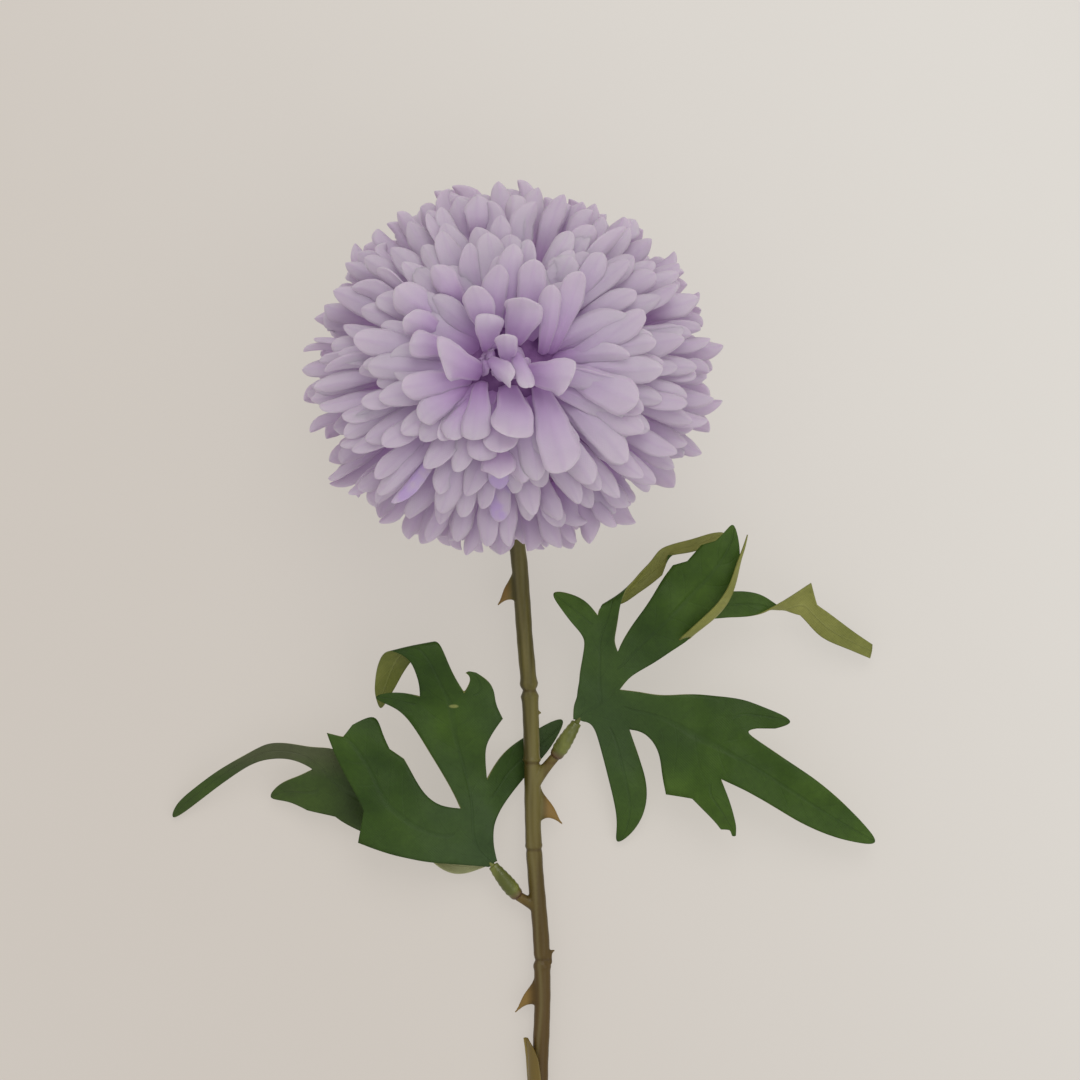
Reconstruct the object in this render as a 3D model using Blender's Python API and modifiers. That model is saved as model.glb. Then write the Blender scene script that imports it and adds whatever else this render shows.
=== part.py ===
"""A ball chrysanthemum on a short cut stem with two lobed leaves, lying on a surface.

The surface is z = 0 and the origin lies on it, under the middle of the bloom. +Y runs from the
stem to the bloom, +X to the right of it, and +Z up to the side that is looked at.
Lengths in this file are millimetres, and every mesh is scaled by MM as it is made.
"""
import math

import bmesh
import bpy
import numpy as np
from mathutils import Matrix, Vector

MM = 0.001
FIT_GAP = 0.3

# The bloom: a ball of petals, pressed a little flat where it rests
BLOOM_RADII = np.array((50.0, 45.3, 42.0))
BLOOM_CENTRE = np.array((0.0, 0.0, 40.0))
BALL_RADIUS = 46.0
CORE_SHARE = 0.58
EYE_TILT = 9.0

# Its petals: how they are spread round the eye, and where the middle line of each one runs,
# as distances from the ball's middle and the share of the lean that it has there
PETAL_COUNT = 198
FIRST_PETAL_ANGLE = 1.0
LAST_PETAL_ANGLE = 179.0
PETAL_LEAN = 23.0
PETAL_LEAN_SPREAD = 0.15
PETAL_ROLL_SPREAD = 14.0
UPRIGHT_ANGLE = 16.0
LEANING_ANGLE = 28.0
EYE_LEAN_SHARE = -1.0
BACK_ANGLES = (75.0, 125.0)
STEM_CLEARANCE = 18.0
TIP_CLEARANCE = 12.0
PETAL_KNOTS = ((23.0, 0.0), (33.5, 0.12), (41.5, 0.5))
PETAL_STATIONS = (0.0, 0.42, 0.7, 0.88, 1.0)
PETAL_SHARES = (0.34, 0.62, 0.94, 0.88)
PETAL_WIDTH = 9.4
PETAL_THICKNESS = 1.2
PETAL_CUP = 0.34
PETAL_SEED = 7
RESTING_PETAL = (0.006, 0.004, -1.0)

# The stem: where it leaves the bloom, its thickness and what stands on it
STEM_DROP = 40.0
STEM_RADIUS = 2.05
STEM_STRAIGHT = (35.5, 38.0, 41.0, 44.5)
STEM_ROUTE = [
    (0.9, -39.0, 9.2), (1.8, -45.0, 8.3), (2.4, -51.0, 7.95), (2.9, -58.5, 7.75), (3.4, -66.0, 7.5),
    (4.7, -81.3, 6.8), (5.2, -98.0, 6.0), (5.5, -114.5, 5.3), (6.2, -126.6, 4.75), (7.5, -141.7, 4.1),
    (7.8, -156.8, 3.45), (7.3, -172.0, 2.75), (7.0, -186.0, 2.15),
]
STEM_STEP = 4.5
STEM_SIDES_RESOLUTION = 3
STEM_RINGS = [(-79.0, -0.32, 0.9), (-98.0, 0.18, 0.7), (-118.5, 0.16, 0.7), (-146.5, -0.3, 0.8)]
RING_REACH = 2.2
RING_STATIONS = (-1.2, 0.0, 1.2)
THORN_RADIUS = 1.0
THORN_SIDES = 8
THORNS = [
    ((3.1, -55.0, 7.7), (-3.2, -57.2, 8.4), 3.6),
    ((5.4, -107.5, 5.6), (12.6, -112.2, 5.0), 4.4),
    ((7.8, -155.5, 3.5), (1.2, -159.6, 3.6), 3.2),
]
BUDS = [((5.0, -85.0, 6.6), (7.7, -84.6, 6.9), 1.2), ((7.6, -145.2, 4.0), (10.7, -144.8, 4.3), 1.5)]
THORN_TIP_RADIUS = 0.22

# The green cup behind the bloom that the stem is pushed into, from the bloom's middle outwards
CUP_PROFILE = [(6.4, 24.6), (7.4, 27.6), (6.9, 30.0), (4.6, 34.0), (3.4, 38.5), (3.1, 42.5)]
CUP_SOCKET_RADIUS = STEM_RADIUS + FIT_GAP
CUP_SOCKET_START = 35.2
CUP_ROOM_END = 52.0
STEM_ROOM_END = -60.0
TURNING_STEPS = 20

# The side pegs of the stem, and the green sleeve pushed on each, from its mouth to the leaf
PEG_ROOT_RADIUS = 1.7
PEG_RADIUS = 1.2
PEG_PIN_RADIUS = 0.75
PEG_PIN_LENGTH = 4.0
SLEEVE_RADII = [1.45, 1.68, 1.62, 1.3, 0.95, 0.72]
SLEEVE_BEND = 0.35
PEGS = {
    "left": ((7.1, -133.6, 4.45), (4.0, -131.9, 4.8), (1.4, -130.2, 5.2), (-4.5, -122.8, 7.9)),
    "right": ((5.6, -102.0, 5.9), (8.6, -98.4, 6.1), (11.3, -95.1, 6.6), (16.3, -87.0, 9.2)),
}

# The scale that wraps the stem near its cut end
BRACT_START = -166.2
BRACT_END = -184.0
BRACT_THICKNESS = 0.6
BRACT_TURNS = [(0.0, 168.0, 156.0, 1.3), (0.12, 176.0, 128.0, 0.8), (0.3, 186.0, 100.0, 0.35),
               (0.6, 198.0, 82.0, 0.0), (1.0, 205.0, 70.0, 0.0)]
BRACT_SIDES = 7

# The leaves: rows of points across each lobe, left edge, rib and right edge, from root to tip.
# A lobe that grows from another starts on a run of that lobe's edge points.
LEAF_THICKNESS = 0.65
LEAF_RIB_RADII = (0.62, 0.62, 0.37)
LEFT_RIB = [(-4.7, -122.6, 8.0), (-6.5, -120.3, 8.6), (-8.5, -118.0, 9.4)]
RIGHT_RIB = [(16.45, -86.75, 9.3), (17.4, -85.0, 9.8), (18.4, -83.0, 10.4)]

LEFT_TRUNK = [
    ((-5.5, -123, 8.2), (-4.5, -122, 8.4), (-3.5, -121.5, 8.2)),
    ((-15, -122, 11), (-8.5, -118, 9.5), (-4.5, -117.5, 9.5)),
    ((-14, -115, 12.5), (-10, -112.5, 10.5), (-4.5, -112, 10)),
    ((-12.5, -108, 13), (-10, -107, 11.5), (-5, -106.5, 9.5)),
    ((-15, -102.5, 14.5), (-11.5, -100, 13), (-6, -101, 11)),
    ((-18, -97.5, 16), (-12.5, -94.5, 14.5), (-6.5, -95, 14.5)),
    ((-21.5, -91.5, 17), (-14, -89.5, 16), (-6, -91, 16.5)),
    ((-26, -84.5, 18), (-14.5, -85, 17.5), (-2, -85.5, 17)),
    ((-24.5, -82, 18.5), (-15, -82.5, 18), (-4, -81.5, 18)),
    ((-22.5, -80, 19.5), (-16, -80, 19), (-8, -80, 19)),
    ((-22.5, -77, 20.5), (-17, -77, 20.5), (-11.5, -79, 20)),
    ((-23.5, -73.5, 22.5), (-19, -72.5, 22.5), (-14.5, -74, 22)),
    ((-25, -70, 24.5), (-21.5, -68.5, 25), (-16.5, -68.5, 24.5)),
    ((-30.5, -68, 22.5), (-24.5, -66.5, 23.5), (-18.5, -66, 23.5)),
    ((-32.5, -71, 19.5), (-28, -70, 20), (-23, -69, 20)),
    ((-33.5, -74.5, 16.5), (-30, -74, 17), (-26.5, -73.5, 17)),
    ((-34, -78.5, 14.5), (-31.5, -78.5, 14.5), (-29, -78.5, 15)),
    ((-33.5, -81, 13.5), (-32.5, -81.5, 13.5), (-31, -81.5, 13.5)),
    ((-32.5, -84, 13),),
]
LEFT_TOOTH = [
    ((-30, -82, 18.5), (-29, -80.5, 19), (-28, -78.5, 19)),
    ((-35.5, -80, 18.5),),
]
LEFT_EAR = [
    ((-10, -76.5, 20.5), (-7.5, -77.5, 20), (-4, -78.5, 19.5)),
    ((-10, -75, 21.5), (-8, -75, 21), (-5.5, -76, 20.5)),
    ((-11, -74, 22.5), (-10.5, -73.5, 22), (-8.5, -74, 21.5)),
]
LEFT_UNDER_STEM = [
    ((-4.5, -98, 8.5), (-3, -103, 8), (-2.5, -108, 7.5)),
    ((-1.5, -94, 5), (-0.5, -98.5, 4.5), (1, -103.5, 4.5)),
    ((3, -91, 2.3), (4, -95.5, 2.3), (4.5, -99.5, 2.3)),
    ((8, -88, 1.8), (8.5, -92, 1.8), (8, -96, 1.8)),
    ((11, -86.5, 1.8), (11.5, -89, 1.8), (11, -92, 1.8)),
    ((14, -86, 1.8),),
]
LEFT_BROAD = [
    ((-20, -121.5, 12.5), (-18.5, -115, 14), (-17.5, -107.5, 14)),
    ((-25.5, -120.5, 13.5), (-23.5, -112.5, 15.5), (-21.5, -104.5, 15.5)),
    ((-31.5, -119, 14), (-27.5, -110, 16.5), (-24.5, -99, 16)),
    ((-38, -116.5, 13.5), (-31.5, -105.5, 17), (-26.5, -95.5, 16)),
    ((-36.5, -108.5, 15.5), (-33.5, -101.5, 17.5), (-30, -93, 16.5)),
    ((-39, -103, 16.5), (-36, -96.5, 18), (-32, -89, 17)),
    ((-43, -96, 17), (-39.5, -92.5, 18), (-33, -87, 17.5)),
    ((-45.5, -89, 17.5), (-41.5, -90, 18), (-35.5, -84.5, 18)),
]
LEFT_REAR = [
    ((-5.5, -121.5, 8.2), (-5.5, -122, 8), (-5.5, -122.5, 8.2)),
    ((-8.5, -121.5, 7), (-8.5, -122.5, 6.8), (-8.5, -124, 7)),
    ((-12.5, -122, 6), (-13, -123.5, 6), (-13.5, -125.5, 6.5)),
    ((-16.5, -121.5, 5), (-17, -122, 5.5), (-18, -123.5, 6.5)),
    ((-21.5, -119, 3), (-22, -119, 6.5), (-22, -119, 10)),
    ((-28, -119, 3.5), (-27.5, -114, 7), (-27, -109, 10.5)),
    ((-35, -115.5, 5), (-35, -107.5, 8), (-35, -101, 9.5)),
    ((-41.5, -112.5, 6), (-40, -105, 9), (-40, -95.5, 9.5)),
    ((-44, -110.5, 6.5), (-43.5, -102.5, 9.5), (-43.5, -93.5, 9.5)),
    ((-47.5, -104.5, 8), (-46.5, -99, 9.5), (-46.5, -93, 9.5)),
    ((-49.5, -98.5, 9), (-49.5, -96, 9.5), (-50, -93, 10)),
    ((-53.5, -96, 9.5), (-54, -94, 10), (-54.5, -92, 10)),
    ((-59.5, -95.5, 9.5), (-60, -93.5, 10), (-60.5, -91.5, 10)),
    ((-65, -97, 8.5), (-65.5, -95.5, 9), (-65.5, -94.5, 9)),
    ((-71.5, -101.5, 6.5), (-72.5, -100, 7), (-73, -98.5, 7)),
    ((-78, -106.5, 4), (-79, -105, 4.5), (-79.5, -103.5, 4.5)),
    ((-82.5, -110, 2), (-83.5, -108.5, 2.3), (-84.5, -107.5, 2.3)),
    ((-86, -112, 1.2),),
]
LEFT_REAR_BRANCH = [
    ((-51, -109, 6), (-52, -104.5, 7.5), (-53.5, -100.5, 8.5)),
    ((-56, -106.5, 5), (-57, -104, 6), (-58, -102, 6.5)),
    ((-62, -106.5, 3.5),),
]
RIGHT_TRUNK = [
    ((15.5, -86, 9.5), (16.5, -86, 9.6), (18, -86.5, 9.5)),
    ((15.5, -82.5, 10.5), (18, -84, 10.3), (20.5, -87, 10)),
    ((16.5, -80.5, 11.3), (20, -83, 10.8), (25, -88, 10)),
    ((16.5, -78.5, 12), (22, -81.5, 11.2), (29.5, -88.5, 10.5)),
    ((17, -76.5, 12.5), (22, -79, 11.7), (28.5, -83.5, 11.5)),
    ((17, -75, 13), (22, -76, 12.2), (27, -78.5, 13)),
    ((17.5, -72, 13.7), (22, -73, 13), (26.5, -74, 14)),
    ((18, -69, 14.3), (22, -69.5, 13.7), (26.5, -69, 15)),
    ((18.5, -65.5, 15), (22, -66, 14.5), (25.5, -66.5, 15.3)),
    ((20.5, -62.5, 16), (23, -63, 15.5), (26, -64, 16)),
    ((21.5, -60, 16.9), (24.5, -60, 17), (26.5, -61, 17.3)),
    ((21.8, -58.4, 18.4), (25, -57, 18.7), (27, -57, 18.7)),
    ((23, -56.8, 17.4), (25.5, -55.2, 17.2), (28.5, -53.3, 17.6)),
    ((24.6, -57.2, 14.9), (27, -55.7, 14.4), (30.5, -51.5, 15.2)),
    ((27.5, -57.5, 13), (29.5, -54, 13.3), (32.5, -49, 14.2)),
    ((31, -55, 13), (32.5, -51.5, 13.5), (35, -46.5, 14)),
    ((34.5, -52.5, 13.5), (35.5, -49, 13.5), (36.5, -44, 14)),
    ((37.5, -50, 14), (38, -47, 13.5), (38, -43, 14)),
    ((39, -45, 14.5), (40, -44, 14), (41, -42, 14)),
    ((44.5, -44.5, 15), (44.5, -43, 14.5), (45.5, -41, 14.5)),
    ((49, -43, 15.5), (49, -41.5, 15), (49.5, -39.5, 15)),
    ((54.5, -39, 15.5),),
]
RIGHT_FRONT = [
    ((15.5, -62.5, 15.8), (17.5, -60, 16), (19, -56.5, 16.8)),
    ((12.5, -58.5, 16.5), (13.5, -57, 16.8), (15, -54.5, 17)),
    ((9, -53.5, 17.5),),
]
RIGHT_UPPER = [
    ((27.5, -66.5, 16), (30, -70, 14.8), (29.5, -75, 14.5)),
    ((30.5, -61.5, 17), (33.5, -66, 16), (34.5, -72.5, 15.5)),
    ((34, -57, 18), (38, -62, 17.2), (39.5, -69, 16.5)),
    ((37, -51.5, 19), (42.5, -57, 18.5), (45, -65.5, 17)),
    ((40, -47.5, 20), (46.5, -52.5, 19.5), (50, -62, 17.5)),
    ((43.5, -46.5, 20.5), (49.5, -49.5, 20.5), (53.5, -57.5, 18.5)),
    ((47, -42.5, 21), (52, -46, 21.3), (56, -52.5, 19.5)),
    ((50.5, -41.5, 21.5), (53.5, -43, 21.8), (56.5, -47.5, 20.5)),
    ((53.5, -38.5, 22), (55, -40, 22), (56.5, -42.5, 21.5)),
    ((55, -36.5, 22),),
]
RIGHT_HEM = [
    ((56.5, -46.5, 22.5), (55.5, -51, 21.8), (54.5, -56, 20.8), (50.5, -60.5, 19.8), (44, -65, 18.6)),
    ((55.5, -47.5, 23.3), (54, -52.5, 23), (51.5, -56.5, 22.3), (48, -60, 21.3), (41.5, -66, 19.2)),
]
RIGHT_REAR = [
    ((45, -55.5, 18.6), (45, -58, 18.5), (44.5, -60.5, 18.2)),
    ((50, -54.5, 15.5), (49.5, -57.5, 15.3), (49, -61, 15)),
    ((54.5, -54, 13.5), (54, -57.5, 13.5), (53.5, -60.5, 13)),
    ((59, -54, 13), (59, -57, 13), (59, -60.5, 12.5)),
    ((63, -55, 13), (63, -57.5, 12.3), (62.5, -59.5, 13.5)),
    ((66, -57.5, 12), (66, -59.5, 12), (65, -58, 15)),
    ((70, -59.5, 11.5), (69, -58.5, 12.5), (68.5, -56, 15.5)),
    ((72, -60, 11), (72.5, -57, 12.5), (74.5, -52, 15)),
    ((74, -62, 10), (75, -59.5, 11.5), (76, -57.5, 13)),
    ((77.5, -66, 8.5), (79, -63.5, 9.5), (80, -60, 10.5)),
    ((83, -68, 6.5), (83.5, -66, 7), (84.5, -63.5, 7.5)),
    ((90, -71, 4), (90.5, -69, 4), (90.5, -67.5, 4)),
]
RIGHT_LONG = [
    ((32, -79, 14), (34, -84, 12.8), (33.5, -89, 12)),
    ((37, -80, 15), (38.5, -85, 14), (37, -93.5, 13.5)),
    ((42.5, -79.5, 16), (43, -86.5, 15), (37.5, -99.5, 14)),
    ((47, -79.5, 16.5), (46.5, -88.5, 15.8), (38.5, -104.5, 14)),
    ((51, -80, 17), (49.5, -90.5, 16.3), (45, -105.5, 14.5)),
    ((54.5, -84.5, 17), (52.5, -92.5, 16.5), (48.5, -103, 15.3)),
    ((57.5, -88.5, 17), (55, -94.5, 16.7), (52, -100.5, 16)),
    ((62, -91.5, 16.8), (60, -97.5, 16.2), (57.5, -103, 16)),
    ((68.5, -96, 16), (66.5, -101.5, 15), (64.5, -107, 15)),
    ((75.5, -100.5, 14), (74, -106.5, 13), (71.5, -111.5, 13)),
    ((82, -106, 11.5), (80.5, -111, 10.8), (79, -115, 10.5)),
    ((88, -112, 8), (87, -114.5, 7.6), (86, -117, 7.2)),
    ((93, -118, 5),),
]
RIGHT_LONG_UPPER = [
    ((57, -80.5, 17), (59, -84.5, 16.8), (61, -88, 16)),
    ((63.5, -83, 16), (64.5, -85, 16), (65.5, -88, 15)),
    ((71.5, -86.5, 14),),
]
RIGHT_LONG_LOWER = [
    ((53.5, -104, 15), (50.5, -106, 14.5), (47.5, -108, 13.5)),
    ((55, -108.5, 13), (53, -109.5, 13), (50.5, -111, 12)),
    ((56, -112, 11), (54.5, -113, 11), (52.5, -113.5, 10.5)),
    ((55.5, -115, 9.5),),
]
RIGHT_DROOP = [
    ((30.5, -91.5, 10), (26.5, -92.5, 9.5), (22, -92, 9)),
    ((32.5, -97, 8.5), (27.5, -97.5, 9), (23.5, -97.5, 7.8)),
    ((34, -102.5, 7), (29, -103.5, 7.8), (25, -103.5, 6.5)),
    ((34, -108, 5), (30, -108.5, 6), (26.5, -110, 4.8)),
    ((31.5, -114, 3), (29, -114.5, 3.5), (26.5, -114.5, 3)),
    ((26, -118.5, 1.5),),
]

# Each lobe: its rows, the lobe it grows from, that lobe's edge and the first and last row of the run
LEFT_BLADE = [
    (LEFT_TRUNK, None),
    (LEFT_BROAD, (0, "left", 1, 3)),
    (LEFT_TOOTH, (0, "left", 7, 9)),
    (LEFT_EAR, (0, "right", 8, 10)),
    (LEFT_UNDER_STEM, (0, "right", 2, 4)),
]
LEFT_REAR_BLADE = [(LEFT_REAR, None), (LEFT_REAR_BRANCH, (0, "left", 8, 10))]
RIGHT_BLADE = [
    (RIGHT_TRUNK, None),
    (RIGHT_FRONT, (0, "left", 8, 10)),
    (RIGHT_UPPER, (0, "right", 5, 7)),
    (RIGHT_HEM, (2, "right", 3, 7)),
    (RIGHT_LONG, (0, "right", 3, 5)),
    (RIGHT_LONG_UPPER, (4, "left", 4, 6)),
    (RIGHT_LONG_LOWER, (4, "right", 4, 6)),
    (RIGHT_DROOP, (0, "right", 1, 3)),
]
RIGHT_REAR_BLADE = [(RIGHT_REAR, None)]

FINISHES = {
    "petals": ((0.46, 0.36, 0.50), 0.75),
    "green cup": ((0.16, 0.21, 0.06), 0.55),
    "stem": ((0.12, 0.10, 0.035), 0.5),
    "sleeve": ((0.13, 0.15, 0.035), 0.45),
    "leaf": ((0.035, 0.07, 0.02), 0.65),
}


def unit(vector):
    """The vector scaled to length one."""
    vector = np.asarray(vector, dtype=float)
    return vector / np.linalg.norm(vector)


def finish(name):
    """A plain material with the finish's colour and roughness."""
    material = bpy.data.materials.new(name)
    material.use_nodes = True
    shader = material.node_tree.nodes["Principled BSDF"]
    colour, roughness = FINISHES[name]
    shader.inputs["Base Color"].default_value = (*colour, 1.0)
    shader.inputs["Roughness"].default_value = roughness
    shader.inputs["Metallic"].default_value = 0.0
    return material


def mesh_object(name, points, faces, collection, edges=()):
    """An object from points in millimetres and the faces or edges between them."""
    mesh = bpy.data.meshes.new(name)
    mesh.from_pydata([tuple(float(c) * MM for c in point) for point in points], list(edges), faces)
    mesh.update()
    made = bpy.data.objects.new(name, mesh)
    collection.objects.link(made)
    return made


def settle(made):
    """Replace an object's mesh by its evaluated one, with its modifiers applied."""
    graph = bpy.context.evaluated_depsgraph_get()
    mesh = bpy.data.meshes.new_from_object(made.evaluated_get(graph))
    made.modifiers.clear()
    made.data = mesh
    return made


def largest_body(mesh):
    """Keep the body with the largest volume, without sealed hollows and loose scraps."""
    edit = bmesh.new()
    edit.from_mesh(mesh)
    waiting = set(edit.faces)
    bodies = []
    while waiting:
        body = [waiting.pop()]
        for face in body:
            for edge in face.edges:
                for other in edge.link_faces:
                    if other in waiting:
                        waiting.remove(other)
                        body.append(other)
        bodies.append(body)

    def volume(body):
        return sum(face.calc_center_median().dot(face.normal) * face.calc_area() for face in body)

    bodies.sort(key=volume)
    for body in bodies[:-1]:
        bmesh.ops.delete(edit, geom=body, context="FACES")
    edit.to_mesh(mesh)
    edit.free()
    mesh.update()


def fuse(base, pieces, solver="EXACT"):
    """Join the pieces to the base in one Boolean union, then remove them."""
    group = bpy.data.collections.new(base.name + " pieces")
    bpy.context.scene.collection.children.link(group)
    for piece in pieces:
        for owner in list(piece.users_collection):
            owner.objects.unlink(piece)
        group.objects.link(piece)
    union = base.modifiers.new("union", "BOOLEAN")
    union.operation = "UNION"
    union.operand_type = "COLLECTION"
    union.collection = group
    union.solver = solver
    settle(base)
    for piece in pieces:
        bpy.data.objects.remove(piece)
    bpy.data.collections.remove(group)
    largest_body(base.data)
    return base


def cut(made, cutter, solver="EXACT"):
    """Cut the cutter's shape out of an object."""
    cutter.hide_render = True
    cutter.display_type = "WIRE"
    difference = made.modifiers.new("cut " + cutter.name, "BOOLEAN")
    difference.operation = "DIFFERENCE"
    difference.object = cutter
    difference.solver = solver
    settle(made)
    largest_body(made.data)


def smooth_route(points, step):
    """Points a step apart along a smooth curve through the route's points."""
    points = np.asarray(points, dtype=float)
    ends = np.vstack((2 * points[0] - points[1], points, 2 * points[-1] - points[-2]))
    dense = []
    for p0, p1, p2, p3 in zip(ends, ends[1:], ends[2:], ends[3:]):
        for t in np.linspace(0, 1, 16, endpoint=False):
            dense.append(0.5 * (2 * p1 + (p2 - p0) * t + (2 * p0 - 5 * p1 + 4 * p2 - p3) * t ** 2
                                + (3 * p1 - p0 - 3 * p2 + p3) * t ** 3))
    dense = np.array(dense + [points[-1]])
    run = np.concatenate(([0.0], np.cumsum(np.linalg.norm(np.diff(dense, axis=0), axis=1))))
    stations = np.linspace(0, run[-1], max(2, round(run[-1] / step) + 1))
    return np.column_stack([np.interp(stations, run, dense[:, axis]) for axis in range(3)])


def tube(name, points, radii, collection, resolution=2):
    """A round bar along the points, with its own radius at each, as a closed mesh."""
    curve = bpy.data.curves.new(name, "CURVE")
    curve.dimensions = "3D"
    curve.bevel_depth = MM
    curve.bevel_resolution = resolution
    curve.use_fill_caps = True
    spline = curve.splines.new("POLY")
    spline.points.add(len(points) - 1)
    for knot, point, radius in zip(spline.points, points, radii):
        knot.co = (*(c * MM for c in point), 1.0)
        knot.radius = radius
    guide = bpy.data.objects.new(name + " guide", curve)
    collection.objects.link(guide)
    graph = bpy.context.evaluated_depsgraph_get()
    mesh = bpy.data.meshes.new_from_object(guide.evaluated_get(graph))
    edit = bmesh.new()
    edit.from_mesh(mesh)
    bmesh.ops.remove_doubles(edit, verts=edit.verts, dist=0.01 * MM)
    bmesh.ops.recalc_face_normals(edit, faces=edit.faces)
    edit.to_mesh(mesh)
    edit.free()
    made = bpy.data.objects.new(name, mesh)
    made.matrix_world = guide.matrix_world
    collection.objects.link(made)
    bpy.data.objects.remove(guide)
    return made


def stem_direction():
    """The direction in which the stem leaves the bloom's middle."""
    drop = math.radians(STEM_DROP)
    return np.array((0.0, -math.cos(drop), -math.sin(drop)))


def stem_line():
    """The stem's middle line, from its end inside the green cup to its cut end."""
    straight = [BLOOM_CENTRE + stem_direction() * distance for distance in STEM_STRAIGHT]
    return smooth_route(straight + STEM_ROUTE, STEM_STEP)


def stem_at(y):
    """The point of the stem's middle line at a distance along the part."""
    line = stem_line()[::-1]
    return np.array([np.interp(y, line[:, 1], line[:, axis]) for axis in range(3)])


def stem_radius(y):
    """The stem's radius there, with its rings and grooves."""
    rises = (rise * math.exp(-((y - place) / width) ** 2) for place, rise, width in STEM_RINGS)
    return STEM_RADIUS + sum(rises)


def bloom_point(point):
    """A point of the plain petal ball, brought to the bloom's own widths and place."""
    return BLOOM_CENTRE + np.asarray(point) * BLOOM_RADII / BALL_RADIUS


def swung(outward, away, degrees):
    """The outward direction, swung the given way by an angle."""
    angle = math.radians(degrees)
    return outward * math.cos(angle) + away * math.sin(angle)


def petal_lean(from_eye, from_stem):
    """How far a petal leans: inwards over the eye, away from it further out, and short of the stem."""
    share = (from_eye - UPRIGHT_ANGLE) / (LEANING_ANGLE - UPRIGHT_ANGLE)
    return min(PETAL_LEAN * min(1.0, max(EYE_LEAN_SHARE, share)), from_stem - TIP_CLEARANCE)


def petal_places():
    """Each petal's direction from the core, the way it leans and how far, from the eye to the back."""
    tilt = math.radians(EYE_TILT)
    eye = np.array((0.0, math.sin(tilt), math.cos(tilt)))
    across = np.array((1.0, 0.0, 0.0))
    up = np.cross(eye, across)
    first, last = (math.cos(math.radians(a)) for a in (FIRST_PETAL_ANGLE, LAST_PETAL_ANGLE))
    golden = math.pi * (3 - math.sqrt(5))
    places = []
    for index in range(PETAL_COUNT):
        cosine = first + (last - first) * (index + 0.5) / PETAL_COUNT
        sine = math.sqrt(1 - cosine ** 2)
        around = across * math.cos(index * golden) + up * math.sin(index * golden)
        outward = eye * cosine + around * sine
        from_eye = math.degrees(math.acos(cosine))
        from_stem = math.degrees(math.acos(np.dot(stem_direction(), outward)))
        to_back = float(np.interp(from_eye, BACK_ANGLES, (0.0, 1.0)))
        to_stem = unit(stem_direction() - outward * np.dot(stem_direction(), outward))
        away = unit((around * cosine - eye * sine) * (1 - to_back) + to_stem * to_back)
        if from_stem > STEM_CLEARANCE:
            places.append((outward, away, petal_lean(from_eye, from_stem)))
    return places


def petal_line(outward, away, lean, reach):
    """The middle line of a petal, which stands up from the core and then bends the way it leans."""
    knots = [radius * swung(outward, away, lean * share) for radius, share in PETAL_KNOTS]
    knots.append(reach * swung(outward, away, lean))
    t = np.array(PETAL_STATIONS)[:, None]
    weights = ((1 - t) ** 3, 3 * t * (1 - t) ** 2, 3 * t ** 2 * (1 - t), t ** 3)
    return sum(weight * knot for weight, knot in zip(weights, knots))


def grown_petal(name, place, rng, collection):
    """A petal of the ball, with its own small differences in lean, reach, roll and width."""
    outward, away, lean = place
    lean *= 1 + rng.uniform(-PETAL_LEAN_SPREAD, PETAL_LEAN_SPREAD)
    reach = BALL_RADIUS * rng.uniform(0.97, 1.03)
    roll = math.radians(rng.uniform(-PETAL_ROLL_SPREAD, PETAL_ROLL_SPREAD))
    width = PETAL_WIDTH * rng.uniform(0.9, 1.08)
    line = petal_line(outward, away, lean, reach)
    return petal(name, line, np.cross(outward, away), roll, width, PETAL_CUP, collection)


def petal(name, line, side, roll, width, cup, collection):
    """One spoon-shaped petal: a blade with four points round it at each station and one at its tip."""
    side = unit(side)
    widest = width / 2
    points = []
    for index, share in enumerate(PETAL_SHARES):
        along = unit(line[index + 1] - line[max(index - 1, 0)])
        face = unit(np.cross(side, along))
        across = side * math.cos(roll) + face * math.sin(roll)
        face = np.cross(across, along)
        half = across * widest * share
        middle = line[index] - face * widest * share * cup
        thick = face * PETAL_THICKNESS / 2
        points += [line[index] - half, middle + thick, line[index] + half, middle - thick]
    points.append(line[-1])
    faces = [(3, 2, 1, 0)]
    for row in range(len(PETAL_SHARES) - 1):
        for corner in range(4):
            a, b = 4 * row + corner, 4 * row + (corner + 1) % 4
            faces += [(a, b, b + 4), (a, b + 4, a + 4)]
    last = 4 * (len(PETAL_SHARES) - 1)
    faces += [(last + corner, last + (corner + 1) % 4, len(points) - 1) for corner in range(4)]
    made = mesh_object(name, [bloom_point(point) for point in points], faces, collection)
    edit = bmesh.new()
    edit.from_mesh(made.data)
    bmesh.ops.recalc_face_normals(edit, faces=edit.faces)
    edit.to_mesh(made.data)
    edit.free()
    return made


def turned(name, profile, collection):
    """A solid turned about the stem's direction, from radius and distance from the bloom's middle."""
    points = [(radius, 0.0, -distance) for radius, distance in profile]
    edges = [(index, index + 1) for index in range(len(points) - 1)]
    made = mesh_object(name, points, [], collection, edges)
    screw = made.modifiers.new("turn", "SCREW")
    screw.axis = "Z"
    screw.steps = TURNING_STEPS
    screw.render_steps = TURNING_STEPS
    screw.use_merge_vertices = True
    screw.merge_threshold = 0.00001
    settle(made)
    towards_bloom = Vector(-stem_direction())
    made.data.transform(towards_bloom.to_track_quat("Z", "X").to_matrix().to_4x4())
    made.data.transform(Matrix.Translation(Vector(BLOOM_CENTRE * MM)))
    return made


def box(name, low, high, collection):
    """A plain box between two corners."""
    edit = bmesh.new()
    bmesh.ops.create_cube(edit, size=1.0)
    low, high = Vector(low) * MM, Vector(high) * MM
    for vert in edit.verts:
        vert.co = Vector(l + (c + 0.5) * (h - l) for l, h, c in zip(low, high, vert.co))
    mesh = bpy.data.meshes.new(name)
    edit.to_mesh(mesh)
    edit.free()
    made = bpy.data.objects.new(name, mesh)
    collection.objects.link(made)
    return made


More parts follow.
